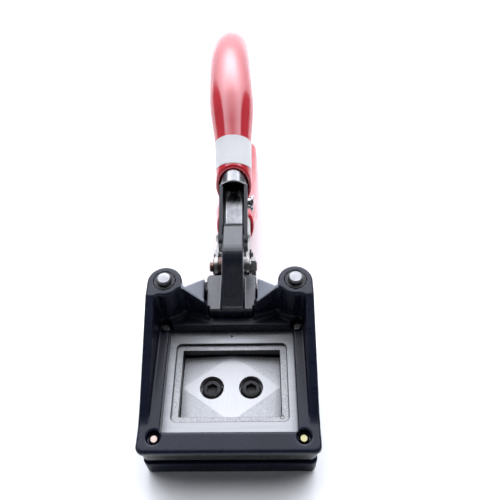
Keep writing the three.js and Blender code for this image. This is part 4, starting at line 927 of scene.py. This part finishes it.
def socketScrewMesh(x):
    # rows from the socket floor up its six walls, over the crown and down; a wall stands at
    # (w/2) / cos(a - 60 deg * nearest) from the middle, and rows further out turn round
    c = socketScrew
    angle = around()
    six = c["socket"] / 2 / np.cos((angle + np.pi / 6) % (np.pi / 3) - np.pi / 6)
    head, shank, foot = c["head"] / 2, c["shank"] / 2, c["seat"] - c["engaged"]
    rows = [(0, 0, c["top"] - c["deep"] - c["point"]), (1, 0, c["top"] - c["deep"]),
            (1, 0, c["top"] - c["socketEdge"]), (1, c["socketEdge"], c["top"]),
            (0, head - c["edge"], c["top"]), (0, head - c["crown"], c["top"] - c["crown"]),
            (0, head, c["top"] - c["edge"]), (0, head, c["floor"]), (0, shank, c["floor"]), (0, shank, foot),
            (0, 0, foot)]
    sixes, grown, height = np.array(rows).T[:, :, None]
    radius = sixes * six + grown
    return surface("socketScrew", np.stack([x + radius * np.cos(angle), radius * np.sin(angle),
                                            height + 0 * angle], axis=-1) * mm)


for side, sign in sides:
    added("punchScrewSkin_" + side, socketScrewMesh(sign * socketScrew["x"]), "base",
          ["punch_screw_" + side], "blackOxide")

returnSpring = {"mean": 7.2, "wire": 1.0, "turns": 6, "low": 7.35, "high": 20.45, "x": 25, "y": 31.0,
                "steps": 40, "round": 14, "taper": 0.02}


def springMesh(x):
    # wire round the helix (R cos t, R sin t, rise t), its section turned in the radial plane
    c = returnSpring
    t = np.linspace(0, 2 * np.pi * c["turns"], c["turns"] * c["steps"] + 1)[:, None]
    a = around(c["round"])
    wire = c["wire"] / 2 * np.clip(np.minimum(t, t[-1] - t) / c["taper"], c["taper"], 1)
    radius = c["mean"] / 2 + wire * np.cos(a)
    height = c["low"] + (c["high"] - c["low"]) * t / t[-1] + wire * np.sin(a)
    return surface("returnSpring", np.stack([x + radius * np.cos(t), c["y"] + radius * np.sin(t), height],
                                            axis=-1) * mm)


for side, sign in sides:
    spring = added("returnSpringSkin_" + side, springMesh(sign * returnSpring["x"]), "head",
                   ["return_spring_" + side], "turnedSteel", 60)
    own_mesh(spring)
print("posts, screws and springs made")


# The other parts keep their solid's shape. The punch's flat slopes stay sharp against each other, and the
# rivets go aside with the handle.
sharpFrom = {"punch_block": 5}
asideOf = dict.fromkeys(("handle_rivet", "handle_pin", "lock_stud"), upperPath["sway"][0][1])

for body, look, slotName, nodes in (
        ("head", "groundSteel", "ground_steel", ["die_plate"]),
        ("base", "punchSteel", "ground_steel", ["punch_block"]),
        ("lever", "zincPlate", "zinc_plate", ["lower_lever"]),
        ("head", "blackOxide", "black_oxide", ["guide_bush_left", "guide_bush_right"]),
        ("head", "pinkZinc", "zinc_plate", ["die_screw_front_left"]),
        ("head", "yellowZinc", "zinc_plate", ["die_screw_front_right"]),
        ("head", "zincPlate", "zinc_plate", ["die_screw_rear_left", "die_screw_rear_right"]),
        ("head", "blackOxide", "black_oxide", ["neck_screw_left", "neck_screw_right"]),
        ("head", "copperPlate", "copper_plate", ["main_pin"]),
        ("head", "zincPlate", "zinc_plate", ["main_nut"]),
        ("head", "copperPlate", "zinc_plate", ["main_washer_left"]),
        ("head", "zincPlate", "zinc_plate", ["main_washer_right"]),
        ("head", "copperPlate", "zinc_plate", ["pivot_spacer_left"]),
        ("head", "zincPlate", "zinc_plate", ["pivot_spacer_right"]),
        ("lever", "turnedSteel", "turned_steel", ["lift_pin"]),
        ("lever", "blackOxide", "black_oxide", ["lift_pin_clip"]),
        ("base", "turnedSteel", "turned_steel", ["link_pin"]),
        ("base", "blackOxide", "black_oxide", ["link_pin_clip"]),
        ("links", "zincPlate", "zinc_plate", ["lift_link_left", "lift_link_right"]),
        ("head", "zincPlate", "zinc_plate", ["handle_rivet", "handle_pin"]),
        ("head", "chromePlate", "chrome_plate", ["lock_stud"])):
    for node in nodes:
        refined(node, body, look, sharpFrom.get(node, 30), asideOf.get(node, 0.0))
print("plates, pins and links dressed")


# Studio: a pale floor that the base's front edge and the lower grip stand on, and a soft sky of light
studio = {"floor": 3.0, "front": -0.0280, "gap": 0.00005, "white": 0.96, "dull": 0.8, "bright": 10.0,
          "core": 4.7, "coreHeight": (0.15, 0.55, 0.90), "coreSide": (0.05, 0.75), "frontLight": 0.07,
          "sideLight": 0.3, "side": (0.62, 0.70), "behind": (0.02, 0.18), "tint": (0.965, 0.99, 1.075),
          "byHeight": [(0.0, 0.17), (0.25, 0.26), (0.6, 0.30), (0.78, 0.37), (0.88, 0.33), (0.95, 0.28),
                       (1.0, 0.17)]}
keyLamp = {"place": (0.02, 1.10, 0.66), "aim": (0, 0.05, 0.05), "size": 0.6, "energy": 0.3}

grip = np.array([vertex.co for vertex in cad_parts["lower_grip"].data.vertices])
tilt = float(np.min(np.arctan2(grip[:, 2], grip[:, 1] - studio["front"])))
half = studio["floor"]
corners = [(x, studio["front"] + math.cos(tilt) * away, math.sin(tilt) * away - studio["gap"])
           for x, away in ((-half, -half), (half, -half), (half, half), (-half, half))]
floorMesh = bpy.data.meshes.new("floor")
floorMesh.from_pydata(corners, [], [(0, 1, 2, 3)])
floorMesh.materials.append(finish("floor", (studio["white"],) * 3, studio["dull"])[0])
floor = bpy.data.objects.new("floor", floorMesh)
bpy.context.scene.collection.objects.link(floor)


def softSky():
    # light by direction: a wide soft source behind the tool, its strength by height, with a brighter middle,
    # and little from the front and the sides
    world = bpy.data.worlds.new("studio")
    bpy.context.scene.world = world
    world.use_nodes = True
    tree = world.node_tree
    split = tree.nodes.new("ShaderNodeSeparateXYZ")
    place = tree.nodes.new("ShaderNodeTexCoord")
    tree.links.new(place.outputs["Generated"], split.inputs["Vector"])
    x, y, z = (split.outputs[axis] for axis in "XYZ")

    def step(value, low, high):
        # from 0 at the low value to 1 at the high one, t^2 (3 - 2t) between them
        node = tree.nodes.new("ShaderNodeMapRange")
        node.interpolation_type = "SMOOTHSTEP"
        node.inputs["From Min"].default_value = low
        node.inputs["From Max"].default_value = high
        tree.links.new(value, node.inputs["Value"])
        return node.outputs["Result"]

    s = studio
    source = maths(tree, "MULTIPLY", ramp(tree, z, s["byHeight"]), s["bright"])
    sideways = maths(tree, "ABSOLUTE", x)
    low, highest, high = s["coreHeight"]
    core = maths(tree, "SUBTRACT", step(z, low, highest), step(z, highest, high))
    core = maths(tree, "MULTIPLY", core, maths(tree, "SUBTRACT", 1.0, step(sideways, *s["coreSide"])))
    source = maths(tree, "MULTIPLY_ADD", core, s["core"], source)
    outer = step(sideways, *s["side"])
    rest = maths(tree, "MULTIPLY_ADD", outer, s["sideLight"] - s["frontLight"], s["frontLight"])
    behind = maths(tree, "MULTIPLY", maths(tree, "SUBTRACT", 1.0, outer), step(y, *s["behind"]))
    glow = tree.nodes["Background"]
    light = maths(tree, "MULTIPLY_ADD", behind, maths(tree, "SUBTRACT", source, rest), rest)
    tree.links.new(light, glow.inputs["Strength"])
    glow.inputs["Color"].default_value = (*s["tint"], 1)


softSky()
lamp = bpy.data.objects.new("lamp", bpy.data.lights.new("lamp", "AREA"))
lamp.data.shape = "DISK"
lamp.data.size = keyLamp["size"]
lamp.data.energy = keyLamp["energy"]
lamp.location = keyLamp["place"]
lamp.rotation_mode = "QUATERNION"
lamp.rotation_quaternion = (Vector(keyLamp["place"]) - Vector(keyLamp["aim"])).to_track_quat("Z", "Y")
bpy.context.scene.collection.objects.link(lamp)
bpy.context.scene.view_settings.view_transform = "Standard"
print("studio lit, floor tilted by", round(math.degrees(tilt), 2), "degrees")
